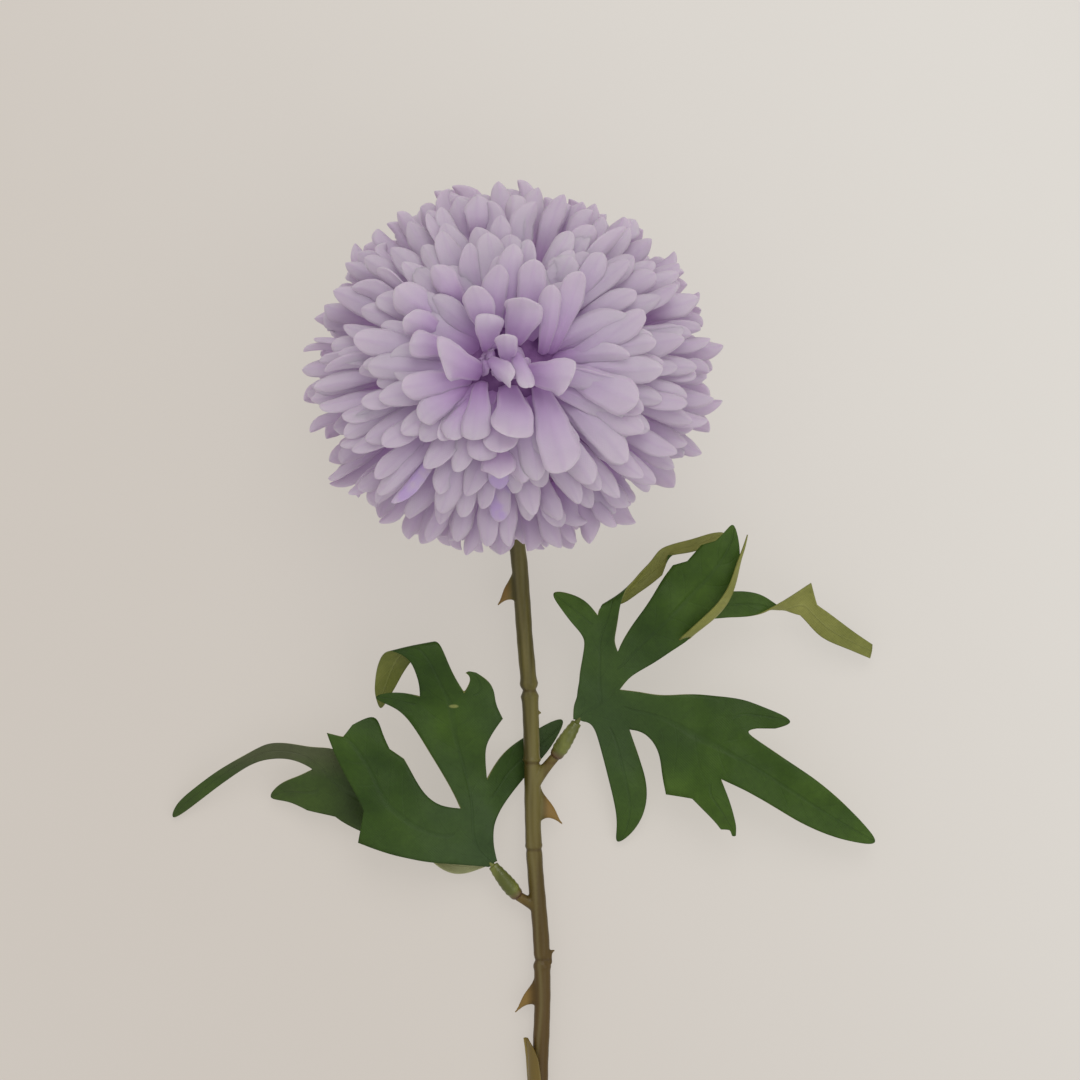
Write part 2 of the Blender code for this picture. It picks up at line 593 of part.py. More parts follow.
def make_bloom(parts, cutters):
    """The ball of petals on its core, cut flat where it rests and open for the cup and stem."""
    edit = bmesh.new()
    bmesh.ops.create_icosphere(edit, subdivisions=3, radius=CORE_SHARE)
    for vert in edit.verts:
        vert.co = Vector((BLOOM_CENTRE + np.array(vert.co) * BLOOM_RADII) * MM)
    mesh = bpy.data.meshes.new("bloom")
    edit.to_mesh(mesh)
    edit.free()
    bloom = bpy.data.objects.new("bloom", mesh)
    parts.objects.link(bloom)
    rng = np.random.default_rng(PETAL_SEED)
    petals = [grown_petal(f"petal {index}", place, rng, parts) for index, place in enumerate(petal_places())]
    down = unit(RESTING_PETAL)
    across = unit(np.cross(down, stem_direction()))
    line = petal_line(down, across, 0.0, BALL_RADIUS)
    petals.append(petal("resting petal", line, across, 0.0, PETAL_WIDTH, 0.0, parts))
    fuse(bloom, petals, solver="MANIFOLD")
    cut(bloom, turned("cup room", grown_cup(), cutters), solver="MANIFOLD")
    line = stem_line()
    near = line[line[:, 1] > STEM_ROOM_END]
    room = tube("stem room", near, [STEM_RADIUS + 2 * FIT_GAP] * len(near), cutters, STEM_SIDES_RESOLUTION)
    cut(bloom, room, solver="MANIFOLD")
    reach = 1.5 * max(BLOOM_RADII)
    cut(bloom, box("surface", (-reach, -reach, -reach), (reach, reach, 0), cutters), solver="MANIFOLD")
    bloom.data.materials.append(finish("petals"))
    return bloom


def grown_cup():
    """The green cup's outline with the fitting gap round it, closed and running out past the bloom."""
    outer = [(radius + FIT_GAP, distance) for radius, distance in CUP_PROFILE]
    start = CUP_PROFILE[0][1] - FIT_GAP
    end = [(outer[-1][0], CUP_ROOM_END), (0.0, CUP_ROOM_END)]
    return [(0.0, start), (outer[0][0], start)] + outer[1:] + end


def make_cup(parts):
    """The green cup behind the bloom, with a socket for the stem."""
    start, end = CUP_PROFILE[0][1], CUP_PROFILE[-1][1]
    socket = [(CUP_SOCKET_RADIUS, end), (CUP_SOCKET_RADIUS, CUP_SOCKET_START), (0.0, CUP_SOCKET_START)]
    profile = [(0.0, start)] + CUP_PROFILE + socket
    cup = turned("calyx", profile, parts)
    cup.data.materials.append(finish("green cup"))
    return cup


def thorn(name, base, tip, stretch, collection):
    """A thorn: a cone from base to tip whose foot is stretched along the stem."""
    base, tip = Vector(base), Vector(tip)
    height = (tip - base).length
    edit = bmesh.new()
    bmesh.ops.create_cone(edit, cap_ends=True, segments=THORN_SIDES, radius1=THORN_RADIUS,
                          radius2=THORN_TIP_RADIUS, depth=height)
    axis = (tip - base).normalized()
    along_stem = Vector((0, 1, 0))
    lengthwise = (along_stem - axis * axis.dot(along_stem)).normalized()
    crosswise = axis.cross(lengthwise)
    for vert in edit.verts:
        share = vert.co.z / height + 0.5
        grow = 1 + (stretch - 1) * (1 - share)
        vert.co = (base + axis * share * height + lengthwise * vert.co.x * grow + crosswise * vert.co.y) * MM
    bmesh.ops.recalc_face_normals(edit, faces=edit.faces)
    mesh = bpy.data.meshes.new(name)
    edit.to_mesh(mesh)
    edit.free()
    made = bpy.data.objects.new(name, mesh)
    collection.objects.link(made)
    return made


def peg_direction(side):
    """The direction in which a side's sleeve leaves its peg."""
    mouth, tip = PEGS[side][2:]
    return unit(np.array(tip) - np.array(mouth))


def make_peg(side, collection):
    """A side peg: a flared branch of the stem with a thinner pin that goes up into the sleeve."""
    root, bend, mouth, _ = (np.array(point) for point in PEGS[side])
    along = peg_direction(side)
    shoulder = mouth - along * FIT_GAP
    points = [root, bend, shoulder, mouth, mouth + along * PEG_PIN_LENGTH]
    radii = [PEG_ROOT_RADIUS, PEG_RADIUS, PEG_RADIUS, PEG_PIN_RADIUS, PEG_PIN_RADIUS]
    return tube(f"peg {side}", points, radii, collection)


def make_stem(parts):
    """The cut stem with its rings, thorns, buds and side pegs, joined in one solid."""
    at_rings = [stem_at(place + shift * width) for place, _, width in STEM_RINGS for shift in RING_STATIONS]
    rings = [place for place, _, _ in STEM_RINGS]
    plain = [point for point in stem_line() if all(abs(point[1] - place) > RING_REACH for place in rings)]
    points = sorted(plain + at_rings, key=lambda point: -point[1])
    stem = tube("stem", points, [stem_radius(point[1]) for point in points], parts, STEM_SIDES_RESOLUTION)
    pieces = [make_peg(side, parts) for side in PEGS]
    for index, (base, tip, stretch) in enumerate(THORNS + BUDS):
        pieces.append(thorn(f"thorn {index}", base, tip, stretch, parts))
    fuse(stem, pieces)
    stem.data.materials.append(finish("stem"))
    return stem


def make_sleeve(side, parts, cutters):
    """The green sleeve on a side peg, with a blind hole for the peg's pin."""
    mouth, tip = (np.array(point) for point in PEGS[side][2:])
    along = peg_direction(side)
    shares = np.linspace(0, 1, len(SLEEVE_RADII))[:, None]
    points = mouth + (tip - mouth) * shares + np.array((0, 0, SLEEVE_BEND)) * np.sin(np.pi * shares)
    sleeve = tube(f"petiole_{side}", points, SLEEVE_RADII, parts, STEM_SIDES_RESOLUTION)
    ends = [mouth - along, mouth + along * (PEG_PIN_LENGTH + FIT_GAP)]
    hole_radii = [PEG_PIN_RADIUS + FIT_GAP] * 2
    cut(sleeve, tube(f"pin room {side}", ends, hole_radii, cutters, STEM_SIDES_RESOLUTION))
    sleeve.data.materials.append(finish("sleeve"))
    return sleeve


def make_bract(parts):
    """The green scale that wraps part of the stem, free at its tip."""
    points = []
    for share, left, right, lift in BRACT_TURNS:
        middle = stem_at(BRACT_START + (BRACT_END - BRACT_START) * share)
        radius = STEM_RADIUS + FIT_GAP + BRACT_THICKNESS / 2 + lift
        for angle in np.radians(np.linspace(left, right, BRACT_SIDES)):
            points.append(middle + radius * np.array((math.cos(angle), 0.0, math.sin(angle))))
    faces = []
    for row in range(len(BRACT_TURNS) - 1):
        for column in range(BRACT_SIDES - 1):
            a = row * BRACT_SIDES + column
            faces.append((a, a + BRACT_SIDES, a + BRACT_SIDES + 1, a + 1))
    bract = mesh_object("bract", points, faces, parts)
    thicken(bract, BRACT_THICKNESS)
    bract.data.materials.append(finish("sleeve"))
    return bract


def thicken(blade, thickness):
    """Give a sheet its thickness, with both faces split into the same triangles."""
    split = blade.modifiers.new("triangles", "TRIANGULATE")
    split.min_vertices = 4
    solid = blade.modifiers.new("thickness", "SOLIDIFY")
    solid.thickness = thickness * MM
    solid.offset = 0.0
    settle(blade)


def blade_cage(lobes):
    """The points and faces of a leaf blade whose lobes share the points they grow from."""
    points, faces, laid = [], [], []
    for rows, root in lobes:
        grid = []
        if root is not None:
            parent, edge, first, last = root
            run = [laid[parent][row][0 if edge == "left" else -1] for row in range(first, last + 1)]
            grid.append(run if edge == "left" else run[::-1])
        for row in rows:
            grid.append(list(range(len(points), len(points) + len(row))))
            points += row
        for near, far in zip(grid, grid[1:]):
            for column in range(len(near) - 1):
                a, b = near[column], near[column + 1]
                faces.append((a, b, far[0]) if len(far) == 1 else (a, b, far[column + 1], far[column]))
        laid.append(grid if root is None else grid[1:])
    return points, faces


def make_blade(name, lobes, collection):
    """One sheet of a leaf, smoothed from its cage and given its thickness."""
    points, faces = blade_cage(lobes)
    blade = mesh_object(name, points, faces, collection)
    smooth = blade.modifiers.new("smooth", "SUBSURF")
    smooth.levels = 1
    smooth.render_levels = 1
    smooth.boundary_smooth = "PRESERVE_CORNERS"
    thicken(blade, LEAF_THICKNESS)
    return blade


def make_leaf(side, front, rear, rib, parts):
    """A leaf: its blade, the lobe behind it, and the rib under them that ends at the sleeve."""
    leaf = make_blade(f"leaf_{side}", front, parts)
    behind = make_blade(f"rear lobe {side}", rear, parts)
    fuse(leaf, [behind, tube(f"rib {side}", rib, LEAF_RIB_RADII, parts)])
    leaf.data.materials.append(finish("leaf"))
    return leaf


def new_collection(name):
    """A collection linked to the scene."""
    made = bpy.data.collections.new(name)
    bpy.context.scene.collection.children.link(made)
    return made


def main():
    """Build every piece of the flower."""
    for old in list(bpy.data.objects):
        bpy.data.objects.remove(old)
    parts = new_collection("chrysanthemum flower head")
    cutters = new_collection("cutters")
    make_bloom(parts, cutters)
    make_cup(parts)
    make_stem(parts)
    for side in PEGS:
        make_sleeve(side, parts, cutters)
    make_bract(parts)
    make_leaf("left", LEFT_BLADE, LEFT_REAR_BLADE, LEFT_RIB, parts)
    make_leaf("right", RIGHT_BLADE, RIGHT_REAR_BLADE, RIGHT_RIB, parts)


main()
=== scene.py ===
# %% [markdown]
# # An artificial ball chrysanthemum
# The flower lies on a pale surface and is looked at from straight above. Its bloom is a ball of
# pressed fabric petals. The stem, the sleeves and the cup are moulded plastic, and the two leaves
# are stamped fabric. The plain solids of the flower are loaded first as a frame, in metres, so
# that every finer piece below is made exactly where its solid already is.

# %% Load the frame
import math

import bmesh
import bpy
import numpy as np
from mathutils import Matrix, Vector, noise


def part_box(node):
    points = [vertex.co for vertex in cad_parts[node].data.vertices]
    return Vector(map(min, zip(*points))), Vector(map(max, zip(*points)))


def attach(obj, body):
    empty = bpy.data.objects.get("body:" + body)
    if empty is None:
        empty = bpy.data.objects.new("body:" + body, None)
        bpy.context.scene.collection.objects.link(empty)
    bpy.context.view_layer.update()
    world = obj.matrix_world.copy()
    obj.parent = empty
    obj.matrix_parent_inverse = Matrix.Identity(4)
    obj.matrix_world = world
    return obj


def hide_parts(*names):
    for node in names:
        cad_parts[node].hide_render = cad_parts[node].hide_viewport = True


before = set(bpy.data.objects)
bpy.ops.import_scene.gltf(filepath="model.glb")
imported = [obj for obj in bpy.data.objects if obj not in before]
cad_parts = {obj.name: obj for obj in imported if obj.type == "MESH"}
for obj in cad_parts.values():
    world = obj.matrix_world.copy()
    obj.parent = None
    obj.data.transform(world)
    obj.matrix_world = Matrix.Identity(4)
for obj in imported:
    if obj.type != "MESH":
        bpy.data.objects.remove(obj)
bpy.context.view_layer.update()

MM = 0.001
print("solids:", ", ".join(sorted(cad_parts)))

# %% [markdown]
# ## Camera, surface and light
# The camera hangs 0.95 m above the surface and looks straight down. Its place is worked out from
# the photo: the middle of the bloom is the origin, and one pixel at the height of the surface is
# a quarter of a millimetre. A narrow angle of view keeps the far and near petals in proportion.

# %% Camera
FRAME_PIXELS = 1080
FOCAL_PIXELS = 3769.0
CAMERA_MM = np.array((7.2, -41.3, 950.0))
scene = bpy.context.scene
camera = bpy.data.objects.new("camera", bpy.data.cameras.new("camera"))
camera.location = Vector(CAMERA_MM * MM)
camera.data.angle = 2 * math.atan(FRAME_PIXELS / 2 / FOCAL_PIXELS)
scene.collection.objects.link(camera)
scene.camera = camera
print("camera angle", round(math.degrees(camera.data.angle), 2), "degrees")

# %% [markdown]
# The photo has hardly any shadow. A bright, even world gives most of the light, as a white studio
# does. Two large soft lamps give the petals their shape: one beyond the bloom, and a weaker one
# at its right.

# %% Light
SKY_TINT, SKY_STRENGTH = (1.0, 0.975, 0.95, 1.0), 0.65
LIT_PLACE = Vector((0.0, -0.04, 0.0))
LAMPS = [  # name, place in metres, size, power, tint
    ("window", (0.15, 0.9, 1.4), 1.0, 6.5, (1.0, 0.99, 0.97)),
    ("fill", (1.0, -0.4, 1.5), 1.4, 4.2, (1.0, 0.98, 0.96)),
]
scene.view_settings.view_transform = "Standard"
scene.world = bpy.data.worlds.new("white studio")
scene.world.use_nodes = True
sky = scene.world.node_tree.nodes["Background"].inputs
sky["Color"].default_value = SKY_TINT
sky["Strength"].default_value = SKY_STRENGTH
for name, place, size, power, tint in LAMPS:
    light = bpy.data.lights.new(name, "AREA")
    light.size, light.energy, light.color = size, power, tint
    lamp = bpy.data.objects.new(name, light)
    lamp.location = place
    lamp.rotation_euler = (LIT_PLACE - Vector(place)).to_track_quat("-Z", "Y").to_euler()
    scene.collection.objects.link(lamp)
print(len(LAMPS), "lamps made")

# %% [markdown]
# ## Helpers for materials
# Every finish here is drawn by nodes. These helpers keep the cells short: they add a node and fill
# in its sockets, and they make node groups with named inputs and outputs, so that the same weave
# or mottling can be used in many materials with different numbers.

# %% Node helpers


def fill(node, **sockets):
    """Fill or connect sockets by name, with _ for a space, or by number, as in i0."""
    for key, value in sockets.items():
        socket = node.inputs[int(key[1:]) if key[1:].isdigit() else key.replace("_", " ")]
        if isinstance(value, bpy.types.NodeSocket):
            node.id_data.links.new(value, socket)
        else:
            socket.default_value = (*value, 1.0) if socket.type == "RGBA" else value
    return node


def add_node(kind, settings=None, tree=None, **sockets):
    """Add a shader node, in the tree that its connected sockets belong to."""
    connected = [value for value in sockets.values() if isinstance(value, bpy.types.NodeSocket)]
    node = (tree or connected[0].id_data).nodes.new("ShaderNode" + kind)
    for key, value in (settings or {}).items():
        setattr(node, key, value)
    return fill(node, **sockets)


def numbered(values):
    """Values for a node's first sockets, in their order."""
    return {f"i{index}": value for index, value in enumerate(values)}


def math_node(operation, *values):
    """A Math node's output for one, two or three numbers or sockets."""
    return add_node("Math", {"operation": operation}, **numbered(values)).outputs[0]


def product(first, second):
    """Two numbers multiplied."""
    return math_node("MULTIPLY", first, second)


def linear(value, factor, offset):
    """A number multiplied by a factor, plus an offset."""
    return math_node("MULTIPLY_ADD", value, factor, offset)


def one_minus(value):
    """What a share leaves of one."""
    return math_node("SUBTRACT", 1.0, value)


def vector_node(operation, *values):
    """A Vector Math node's outputs for one or two vectors or sockets."""
    return add_node("VectorMath", {"operation": operation}, **numbered(values)).outputs


def mix_colours(share, first, second, blend="MIX"):
    """The colour between two colours, by a share."""
    settings = {"data_type": "RGBA", "blend_type": blend}
    return add_node("Mix", settings, i0=share, i6=first, i7=second).outputs[2]


def tinted(first, second):
    """One colour multiplied by another."""
    return mix_colours(1.0, first, second, "MULTIPLY")


def smooth_step(value, low, high):
    """A share that rises smoothly from 0 at the low value to 1 at the high one."""
    settings = {"interpolation_type": "SMOOTHSTEP"}
    return add_node("MapRange", settings, i0=value, i1=low, i2=high).outputs[0]


def clouds(place, scale, detail=2.0, roughness=0.5):
    """Soft noise at a place."""
    sockets = dict(Vector=place, Scale=scale, Detail=detail, Roughness=roughness)
    return add_node("TexNoise", **sockets).outputs["Fac"]


def split(vector):
    """The X, Y and Z of a vector."""
    return add_node("SeparateXYZ", Vector=vector).outputs


def stored(shader, name):
    """The number that a piece stores per point under a name."""
    return add_node("Attribute", {"attribute_name": name}, shader.id_data).outputs["Fac"]


# %% Group and material helpers


def node_group(name, inputs, **outputs):
    """A node group, its inputs and its output node; an input's first value tells its kind."""
    group = bpy.data.node_groups.new(name, "ShaderNodeTree")
    for label, value in inputs.items():
        kind = {float: "Float", tuple: "Color"}.get(type(value), "Vector")
        socket = group.interface.new_socket(
            name=label, in_out="INPUT", socket_type="NodeSocket" + kind)
        if value is not None:
            socket.default_value = value
    for label, kind in outputs.items():
        group.interface.new_socket(
            name=label.replace("_", " "), in_out="OUTPUT", socket_type="NodeSocket" + kind)
    print("group:", name)
    return group, group.nodes.new("NodeGroupInput").outputs, group.nodes.new("NodeGroupOutput")


def use_group(group, **sockets):
    """Place a node group in a material."""
    return add_node("Group", {"node_tree": group}, **sockets).outputs


def new_material(name, **sockets):
    """A material, its Principled shader and the place on the object."""
    material = bpy.data.materials.new(name)
    material.use_nodes = True
    shader = fill(material.node_tree.nodes["Principled BSDF"], Metallic=0.0, **sockets)
    return material, shader, add_node("TexCoord", tree=material.node_tree).outputs["Object"]


def relief(shader, height, strength, distance):
    """Feed a height to the shader through a Bump node."""
    bump = add_node("Bump", Height=height, Strength=strength, Distance=distance)
    fill(shader, Normal=bump.outputs[0])


# %% [markdown]
# The weave of the leaves and petals is a plain one: threads over and under each other in two
# directions. Two waves at right angles give it, and noise makes some threads thicker.

# %% Woven cloth group
woven, weave_in, weave_out = node_group(
    "woven cloth", {"Vector": None, "Threads": 2.0, "Unevenness": 0.5},
    Height="Float", Shade="Float")
apart = split(weave_in["Vector"])
waves = []
for axis in "XY":
    turns = product(apart[axis], weave_in["Threads"])
    waves.append(math_node("SINE", product(turns, math.tau)))
crossing = product(*waves)
slub = clouds(weave_in["Vector"], 0.9, 3.0)
uneven = product(slub, weave_in["Unevenness"])
fill(weave_out, Height=math_node("ADD", crossing, uneven), Shade=linear(crossing, 0.25, slub))

# %% [markdown]
# Dye never takes evenly. The mottling group mixes two tones by soft clouds.

# %% Mottling group
mottled, mottle_in, mottle_out = node_group(
    "mottled dye", {"Vector": None, "Scale": 60.0, "Dark": (0, 0, 0, 1), "Light": (1, 1, 1, 1),
                    "Contrast": 1.0}, Color="Color", Mask="Float")
dye = clouds(mottle_in["Vector"], mottle_in["Scale"], 4.0, 0.6)
centred = math_node("SUBTRACT", dye, 0.5)
stretched = linear(centred, mottle_in["Contrast"], 0.5)
share = add_node("Clamp", Value=stretched).outputs[0]
fill(mottle_out, Mask=share, Color=mix_colours(share, mottle_in["Dark"], mottle_in["Light"]))

# %% [markdown]
# Moulded plastic is never quite smooth. It has a fine pebbled skin, and long streaks where the
# melt flowed along the mould.

# %% Moulded skin group
skin, skin_in, skin_out = node_group(
    "moulded skin", {"Vector": None, "Pebbles": 900.0, "Streaks": 260.0},
    Height="Float", Streak="Float")
pebbles = clouds(skin_in["Vector"], skin_in["Pebbles"])
drawn = add_node("Mapping", Vector=skin_in["Vector"], Scale=(1.0, 0.07, 1.0)).outputs[0]
flow = clouds(drawn, skin_in["Streaks"], 3.0)
fill(skin_out, Height=linear(flow, 1.6, pebbles), Streak=smooth_step(flow, 0.38, 0.66))

# %% [markdown]
# ## The surface
# A plain pale board, a little warmer on the left as in the photo. It glows a little, as a light
# table does, and this takes most of the shadow away. It is staging, not part of the flower.

# %% Surface
board, shader, place = new_material(
    "pale board", Roughness=0.9, Specular_IOR_Level=0.0, Emission_Strength=0.74)
spread = split(place)
cooler = smooth_step(linear(spread["Y"], 0.5, spread["X"]), -0.17, 0.19)
tint = mix_colours(cooler, (0.600, 0.556, 0.508), (0.706, 0.680, 0.640))
paper = use_group(mottled, Vector=place, Scale=9.0, Dark=(0.975, 0.972, 0.968), Contrast=1.2)
papered = tinted(tint, paper["Color"])
fill(shader, Base_Color=tinted(papered, (0.34, 0.34, 0.34)), Emission_Color=papered)
relief(shader, clouds(place, 700.0), 0.1, 0.0002)

BOARD_REACH = 1.5
edit = bmesh.new()
bmesh.ops.create_grid(edit, x_segments=4, y_segments=4, size=BOARD_REACH)
mesh = bpy.data.meshes.new("surface")
edit.to_mesh(mesh)
edit.free()
mesh.materials.append(board)
surface = bpy.data.objects.new("surface", mesh)
scene.collection.objects.link(surface)
print("surface laid")

# %% [markdown]
# ## Helpers for shapes
# The pieces of the flower are all grown along lines: petals, the stem, its thorns and the sleeves.
# These helpers make vectors of length one, smooth curves through a few points, and round bars
# along a curve.

# %% Line helpers


def unit(vectors):
    """Vectors scaled to length one."""
    vectors = np.asarray(vectors, dtype=float)
    return vectors / np.linalg.norm(vectors, axis=-1, keepdims=True)


def ramp(value, places, heights):
    """A number read off a line through a few places and heights."""
    return float(np.interp(value, places, heights))


def golden_turn(index):
    """The golden angle, walked a number of times."""
    return index * math.pi * (3 - math.sqrt(5))


def smooth_route(points, step):
    """Points a step apart along a smooth curve through the route's points."""
    points = np.asarray(points, dtype=float)
    ends = np.vstack((2 * points[0] - points[1], points, 2 * points[-1] - points[-2]))
    t = np.linspace(0, 1, 16, endpoint=False)[:, None]
    runs = [0.5 * (2 * b + (c - a) * t + (2 * a - 5 * b + 4 * c - d) * t ** 2
                   + (3 * b - a - 3 * c + d) * t ** 3)
            for a, b, c, d in zip(ends, ends[1:], ends[2:], ends[3:])]
    dense = np.vstack(runs + [points[-1:]])
    steps = np.linalg.norm(np.diff(dense, axis=0), axis=1)
    run = np.concatenate(([0.0], np.cumsum(steps)))
    stations = np.linspace(0, run[-1], max(2, round(run[-1] / step) + 1))
    return np.column_stack([np.interp(stations, run, dense[:, axis]) for axis in range(3)])


def tube_faces(rows, sides):
    """The faces between the rings of a tube."""
    faces = []
    for row in range(rows - 1):
        for corner in range(sides):
            a, b = row * sides + corner, row * sides + (corner + 1) % sides
            faces.append((a, b, b + sides, a + sides))
    return faces


def swept(line, radii, sides=24, flat=1.0, upright=(0.0, 0.0, 1.0)):
    """Points and faces of a bar along a line; flat squeezes it in the upright direction."""
    line = np.asarray(line, dtype=float)
    radii, flats = (np.broadcast_to(np.asarray(values, dtype=float), (len(line),))
                    for values in (radii, flat))
    along = unit(np.gradient(line, axis=0))
    across = unit(np.cross(along, upright))
    lift = np.cross(across, along)
    angles = np.linspace(0, math.tau, sides, endpoint=False)
    ring = (across[:, None] * np.cos(angles)[:, None] + lift[:, None] * (np.sin(angles)[:, None])
            * flats[:, None, None]) * radii[:, None, None]
    last = (len(line) - 1) * sides
    caps = [tuple(range(sides))[::-1], tuple(range(last, last + sides))]
    return (line[:, None] + ring).reshape(-1, 3), tube_faces(len(line), sides) + caps


def joined(parts):
    """Points and faces of several shapes as one list each."""
    points, faces = [], []
    for some_points, some_faces in parts:
        faces += [tuple(len(points) + corner for corner in face) for face in some_faces]
        points += [tuple(point) for point in some_points]
    return points, faces


# %% Piece helpers


def make_piece(name, points, faces, materials, slot, nodes):
    """A smooth-shaded piece in millimetres that stands in for some of the frame's solids."""
    mesh = bpy.data.meshes.new(name)
    mesh.from_pydata(np.asarray(points, dtype=float) * MM, [], faces)
    mesh.update()
    for material in materials:
        mesh.materials.append(material)
    piece = bpy.data.objects.new(name, mesh)
    scene.collection.objects.link(piece)
    mesh.shade_smooth()
    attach(piece, "root")
    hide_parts(*nodes)
    return piece


def applied(piece):
    """Replace a piece's mesh by its evaluated one and drop the modifiers."""
    graph = bpy.context.evaluated_depsgraph_get()
    mesh = bpy.data.meshes.new_from_object(piece.evaluated_get(graph))
    piece.modifiers.clear()
    piece.data = mesh
    mesh.shade_smooth()


def thicken(sheet, thickness, back_material=0):
    """Give a sheet its thickness, half of it to each side, and a material for its back."""
    thick = sheet.modifiers.new("thickness", "SOLIDIFY")
    thick.thickness = thickness * MM
    thick.offset = 0.0
    thick.material_offset = thick.material_offset_rim = back_material
    applied(sheet)


def store_share(piece, name, values):
    """Store one number per point under a name, for the material to read."""
    attribute = piece.data.attributes.new(name=name, type="FLOAT", domain="POINT")
    attribute.data.foreach_set("value", np.asarray(values, dtype=np.float32))


# %% [markdown]
# ## Petal fabric
# The petals are cut from thin pressed fabric, dyed violet at the root and fading to a greyish
# lavender at the tip and along the edges. Two numbers that run over each petal, across and along,
# are stored as its UV map and drive this fade. A colour attribute gives each petal its own tone,
# and darkens what lies deep in the bloom, where hardly any light comes. A faint glow stands for
# the light that seeps through the fabric from petal to petal.

# %% Petal material
PETAL_FADE = [  # share of the way from root to tip, colour
    (0.0, (0.33, 0.15, 0.41)), (0.40, (0.41, 0.25, 0.49)), (0.62, (0.46, 0.335, 0.53)),
    (0.82, (0.515, 0.43, 0.555)), (1.0, (0.55, 0.49, 0.56)),
]
petal_cloth, shader, place = new_material(
    "petal fabric", Roughness=0.78, Sheen_Weight=0.12, Subsurface_Weight=0.4,
    Subsurface_Radius=(1.0, 0.62, 1.0), Subsurface_Scale=0.002, Emission_Strength=0.47)
uv = add_node("UVMap", tree=shader.id_data).outputs[0]
over = split(uv)
marks = add_node("Attribute", {"attribute_name": "petal"}, shader.id_data).outputs
tone, violet, shallow = add_node("SeparateColor", Color=marks["Color"]).outputs
# The share of violet at the root is partly dye and partly painted shade.
violet_and_shaded = product(one_minus(over["Y"]), marks["Alpha"])
fade = add_node("ValToRGB", Fac=one_minus(violet_and_shaded))
while len(fade.color_ramp.elements) < len(PETAL_FADE):
    fade.color_ramp.elements.new(0.5)
for element, (position, colour) in zip(fade.color_ramp.elements, PETAL_FADE):
    element.position = position
    element.color = (*colour, 1.0)
from_middle = math_node("ABSOLUTE", linear(over["X"], 2.0, -1.0))
rim = product(smooth_step(from_middle, 0.62, 1.0), 0.45)
edged = mix_colours(rim, fade.outputs[0], (0.55, 0.48, 0.56))
# Painted shade: the middle of each petal, down its trough, is darkened.
crease = product(one_minus(smooth_step(from_middle, 0.0, 0.3)), 0.16)
trough_shaded = mix_colours(crease, edged, (0.35, 0.23, 0.43))
cloudy = use_group(mottled, Vector=place, Scale=150.0, Dark=(0.90, 0.89, 0.92), Contrast=1.8)
toned = mix_colours(tone, (0.875, 0.875, 0.885), (0.965, 0.97, 0.965))
own = tinted(tinted(trough_shaded, cloudy["Color"]), toned)
patches = smooth_step(clouds(place, 170.0), 0.4, 0.6)
spotted = mix_colours(product(violet, patches), own, (0.34, 0.20, 0.60))
sunk = mix_colours(shallow, (0.80, 0.63, 0.83), (1.0, 1.0, 1.0))
seep = mix_colours(shallow, (0.13, 0.058, 0.15), (0.113, 0.088, 0.123))
fill(shader, Base_Color=tinted(spotted, sunk), Emission_Color=seep)
threads = vector_node("MULTIPLY", uv, (8.0, 22.0, 1.0))[0]
cloth = use_group(woven, Vector=threads, Threads=1.3, Unevenness=1.5)
relief(shader, cloth["Height"], 0.12, 0.0001)
print("material:", petal_cloth.name)

# %% [markdown]
# ## The shape of a petal
# A petal is a spoon: a narrow root, widest at about three quarters of its length, and a rounded
# or pointed tip.
# It is a grid of points along a curved middle line. Each row is shifted towards the viewer at its
# edges, which makes the trough, and the two faces are held a fabric's thickness apart.

# %% Petal grid
STATIONS = np.array(
    (0.0, 0.16, 0.3, 0.42, 0.54, 0.65, 0.75, 0.83, 0.9, 0.945, 0.975, 0.992, 1.0))
ACROSS = np.array((-1.0, -0.76, -0.44, -0.17, 0.0, 0.17, 0.44, 0.76, 1.0))
ROUND_WIDTHS = np.array(
    (0.36, 0.44, 0.55, 0.67, 0.80, 0.91, 0.985, 1.0, 0.93, 0.79, 0.58, 0.35, 0.04))
POINTED_WIDTHS = np.array(
    (0.36, 0.44, 0.56, 0.70, 0.85, 0.96, 1.0, 0.93, 0.76, 0.57, 0.37, 0.20, 0.02))
FABRIC_THICKNESS = 0.3
TWIST_CENTRE, TIP_START = 0.7, 0.76
ROWS, COLUMNS = len(STATIONS), len(ACROSS)


def petal_surface(
        knots, side, width, cup, roll, twist, point, flap, wave, curl, sway, slant=0.0):
    """The middle surface of one petal, as rows of points from root to tip."""
    t = STATIONS[:, None]
    knots = np.asarray(knots, dtype=float)
    weights = ((1 - t) ** 3, 3 * t * (1 - t) ** 2, 3 * t ** 2 * (1 - t), t ** 3)
    line = sum(weight * knot for weight, knot in zip(weights, knots))
    along = unit(np.gradient(line, axis=0))
    side = unit(side - along * (along @ side)[:, None])
    face = np.cross(side, along)
    turn = (roll + twist * (STATIONS - TWIST_CENTRE))[:, None]
    side, face = (side * np.cos(turn) + face * np.sin(turn),
                  face * np.cos(turn) - side * np.sin(turn))
    half = (width / 2 * ((1 - point) * ROUND_WIDTHS + point * POINTED_WIDTHS))[:, None]
    bend = np.clip((STATIONS - TIP_START) / 0.24, 0, 1) ** 2 * flap * width / 2
    trough = (cup + curl * ACROSS) * ACROSS ** 2 - 0.09 * np.exp(-(ACROSS / 0.2) ** 2)
    ripple = 0.10 * np.sin(t * 11 + wave + ACROSS * 1.7) * np.abs(ACROSS)
    rise = half * (trough + ripple) - bend[:, None]
    ragged = 1 + 0.06 * np.sin(t * 17 + wave * 3 + np.sign(ACROSS) * 1.1)
    swaying = (sway * width * np.sin(np.pi * STATIONS ** 1.5))[:, None]
    out = ACROSS * half * ragged + swaying
    ahead = slant * ACROSS * half * np.clip(t / 0.8, 0, 1) ** 3
    return (line[:, None] + side[:, None] * out[..., None] + face[:, None] * rise[..., None]
            + along[:, None] * ahead[..., None])


